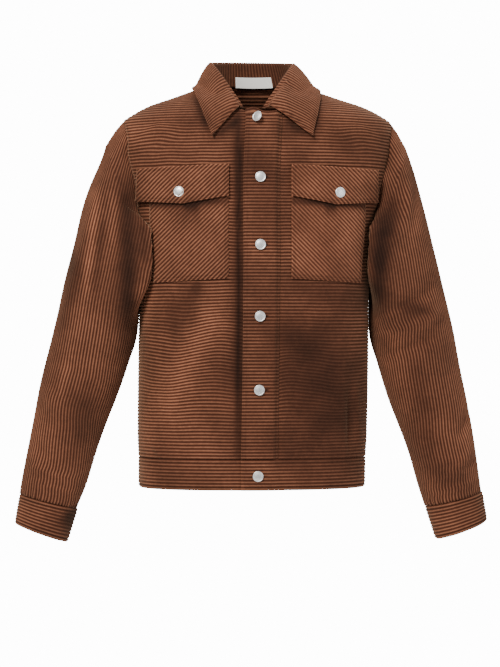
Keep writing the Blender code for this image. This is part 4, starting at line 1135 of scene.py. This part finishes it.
def makeStand():
    dense = np.linspace(collar["standEnd"], 2 * math.pi - collar["standEnd"], 1441)
    length = runLength(standPoint(dense, np.full_like(dense, 0.5)))
    count = int(round(length[-1] / corduroy["pitch"])) * corduroy["samples"]
    angles = np.interp(np.linspace(0, length[-1], count + 1), length, dense)
    cords = np.arange(count + 1) / corduroy["samples"]
    share = np.linspace(0, 1, collar["standRows"])[:, None]
    points = standPoint(angles[None] + 0 * share, share + 0 * angles[None])
    obj = clothShell("collar_stand", points, cords[None], cloth, skip=(3, 6), visible="inside",
                     mask=0.55, shade=0.70)
    finishCloth(obj, "collar_stand")


neckInside = dict(
    height=0.073, halfWidth=0.058, columns=37, turnedShare=0.86, turnedY=-0.0034, turnedZ=0.0105,
    footZ=-0.060, footSlope=0.25, topDrop=0.0012,
    labelWidth=0.063, labelHeight=0.018, labelFootZ=0.012, labelShift=0.005, labelGap=0.0007, labelWall=0.001,
    labelColumns=61, labelRows=21,
)


def makeFacing():
    x = np.linspace(neckInside["halfWidth"], -neckInside["halfWidth"], neckInside["columns"])[None]
    share = np.linspace(0, 1, int(neckInside["height"] / step) + 1)[:, None]
    foot = neckInside["footZ"] + neckInside["footSlope"] * np.abs(x)
    top = necklineZ(back, x) - neckInside["topDrop"]
    turned = neckInside["turnedShare"]
    held = mix(foot, top, np.minimum(share, turned))
    points = bodyPoint(back, x + 0 * share, held, -(cloth + curveGap + layerGap), fine=False)
    # its top stands up inside the foot of the stand
    rise = np.clip((share - turned) / (1 - turned), 0, 1) * np.ones_like(x)
    points = points + rise[..., None] * np.array([0.0, neckInside["turnedY"], neckInside["turnedZ"]])
    obj = clothShell("back_neck_facing", points, mix(foot, top, share) / corduroy["pitch"], cloth,
                     skip=(6, 3), visible="inside", shade=0.80)
    finishCloth(obj, "back_neck_facing")


def makeLabel():
    halfAngle = neckInside["labelWidth"] / 2 / collar["halfWidth"]
    centre = math.pi - neckInside["labelShift"] / collar["halfWidth"]
    rows, columns = neckInside["labelRows"], neckInside["labelColumns"]
    angle = np.linspace(centre - halfAngle, centre + halfAngle, columns)[None] * np.ones((rows, 1))
    heights = np.linspace(0, neckInside["labelHeight"], rows)[:, None] + neckInside["labelFootZ"]
    foot, top = standPoint(angle, np.zeros_like(angle)), standPoint(angle, np.ones_like(angle))
    points = mix(foot, top, ((heights - foot[..., 2]) / (top[..., 2] - foot[..., 2]))[..., None])
    inward = unit(-points * np.array([1.0, 1.0, 0.0]))
    points = points + inward * (cloth + neckInside["labelGap"] + corduroy["height"] * 0.4)
    obj = clothShell("neck_label", points, np.zeros((1, 1)), neckInside["labelWall"], visible="inside",
                     mask=0.0, skip=(4, 6))
    finishPiece(obj, labelMaterial, "neck_label")


# buttons
buttons = dict(
    radius=0.0086, sides=64, gap=0.0002, topX=-0.008, topLean=-40, leanLift=0.75,
    placketZ=(-0.0545, -0.149, -0.257, -0.371, -0.4885), bandZ=-0.626, flapX=0.127, flapZ=-0.1725,
    profile=[  # distance from the axis, and height: shank, flat back, rolled rim, dished face
        (0.0, 0.0), (0.0028, 0.0), (0.0030, 0.0008), (0.0070, 0.0010), (0.0080, 0.0013), (0.0085, 0.0019),
        (0.0086, 0.0024), (0.0083, 0.0030), (0.0077, 0.0033), (0.0072, 0.0032), (0.0068, 0.0029),
        (0.0064, 0.0030), (0.0050, 0.0033), (0.0032, 0.0036), (0.0015, 0.0037), (0.0, 0.0037),
    ],
)


def buttonMesh(name):
    # the profile, turned round its axis, with a point at the middle of each side
    profile, count = np.array(buttons["profile"]), buttons["sides"]
    angles = np.linspace(0, 2 * math.pi, count + 1)[:-1]
    verts = [(r * math.cos(a), r * math.sin(a), h) for r, h in profile[1:-1] for a in angles]
    bottom, last, rings = len(verts), len(verts) - count, len(profile) - 2
    verts += [(0, 0, profile[0][1]), (0, 0, profile[-1][1])]
    faces = []
    for j in range(rings - 1):
        for i in range(count):
            k = (i + 1) % count
            faces.append((j * count + i, j * count + k, (j + 1) * count + k, (j + 1) * count + i))
    for i in range(count):
        k = (i + 1) % count
        faces += [(bottom, k, i), (last + i, last + k, bottom + 1)]
    obj = meshPiece(name, verts, faces)
    obj.data.shade_smooth()
    return obj


def makeButton(name, x, z, out, lean=0.0):
    # lean turns it aside about its rim, in degrees
    foot = Vector(bodyPoint(front, x, z, out, fine=False))
    outward = (Vector(bodyPoint(front, x, z, out + 0.01, fine=False)) - foot).normalized()
    lean = math.radians(lean)
    foot = foot + outward * buttons["radius"] * buttons["leanLift"] * math.sin(abs(lean))
    outward = Matrix.Rotation(lean, 3, "Z") @ outward
    obj = buttonMesh(name)
    turn = outward.to_track_quat("Z", "Y").to_matrix().to_4x4()
    obj.matrix_world = Matrix.Translation(foot + outward * buttons["gap"]) @ turn
    finishPiece(obj, metalMaterial, name)


def makeButtons():
    for number, z in enumerate(buttons["placketZ"], start=1):
        x, lean = (buttons["topX"], buttons["topLean"]) if number == 1 else (0.0, 0.0)
        makeButton(f"button_{number}", x, z, 2 * cloth + layerGap, lean)
    makeButton("button_band", 0.0, buttons["bandZ"], doubleCloth + layerGap)
    for name, side in sides.items():
        makeButton("button_flap_" + name, side * buttons["flapX"], buttons["flapZ"], 2 * curveGap + 2 * cloth)


# light, floor and camera
stageSet = dict(
    floorZ=-1.45, floorRadius=2.2, floor=(0.94, 0.94, 0.94), surround=0.33, backdrop=14.0,
    lights=table("name place aim size power colour", [
        ("key", (-1.2, -2.3, 1.6), (0, 0, -0.35), 1.0, 118, (1.0, 0.96, 0.91)),
        ("fill", (2.0, -1.9, 0.1), (0, 0, -0.4), 1.8, 20, (0.95, 0.97, 1.0)),
        ("top", (0.3, 0.8, 1.8), (0, 0, -0.3), 1.4, 26, (1, 1, 1)),
    ]),
)


def addLight(name, place, aim, size, power, colour):
    data = bpy.data.lights.new(name, "AREA")
    data.shape, data.size, data.energy, data.color = "DISK", size, power, colour
    lamp = bpy.data.objects.new(name, data)
    lamp.location = place
    lamp.rotation_euler = (Vector(aim) - Vector(place)).to_track_quat("-Z", "Y").to_euler()
    bpy.context.scene.collection.objects.link(lamp)


def makeSurround():
    # it lights the cloth softly and is seen as a bright plain backdrop
    world = bpy.data.worlds.new("surround")
    world.use_nodes = True
    tree = world.node_tree
    background = tree.nodes["Background"]
    background.inputs["Color"].default_value = (1, 1, 1, 1)
    path, choose = tree.nodes.new("ShaderNodeLightPath"), tree.nodes.new("ShaderNodeMapRange")
    choose.inputs["To Min"].default_value = stageSet["surround"]
    choose.inputs["To Max"].default_value = stageSet["backdrop"]
    tree.links.new(path.outputs["Is Camera Ray"], choose.inputs["Value"])
    tree.links.new(choose.outputs[0], background.inputs["Strength"])
    bpy.context.scene.world = world


def makeStage():
    makeSurround()
    for light in stageSet["lights"]:
        addLight(**light)
    bpy.ops.mesh.primitive_circle_add(vertices=96, radius=stageSet["floorRadius"], fill_type="NGON",
                                      location=(0, 0, stageSet["floorZ"]))
    floor = bpy.context.object
    floor.name = "floor"
    material, node, ramp, surface = nodeMaterial("floor")
    surface({"Base Color": (*stageSet["floor"], 1), "Roughness": 0.8})
    floor.data.materials.append(material)


view = dict(turn=-4.5, aim=(-0.0066, 0.0, -0.3985), away=3.5, lens=114.5, sensor=36.0)


def makeCamera():
    turn, aim = math.radians(view["turn"]), Vector(view["aim"])
    data = bpy.data.cameras.new("camera")
    data.lens, data.sensor_width = view["lens"], view["sensor"]
    camera = bpy.data.objects.new("camera", data)
    camera.location = aim + view["away"] * Vector((math.sin(turn), -math.cos(turn), 0.0))
    camera.rotation_euler = (aim - camera.location).to_track_quat("-Z", "Y").to_euler()
    bpy.context.scene.collection.objects.link(camera)
    bpy.context.scene.camera = camera


makeStage()
for make in (makeFronts, makeBack, makePlacket, makeWaistband, makePockets, makeSleeves, makeLeaf, makeStand,
             makeFacing, makeLabel, makeButtons):
    make()
    print("made", make.__name__.removeprefix("make").lower())
makeCamera()
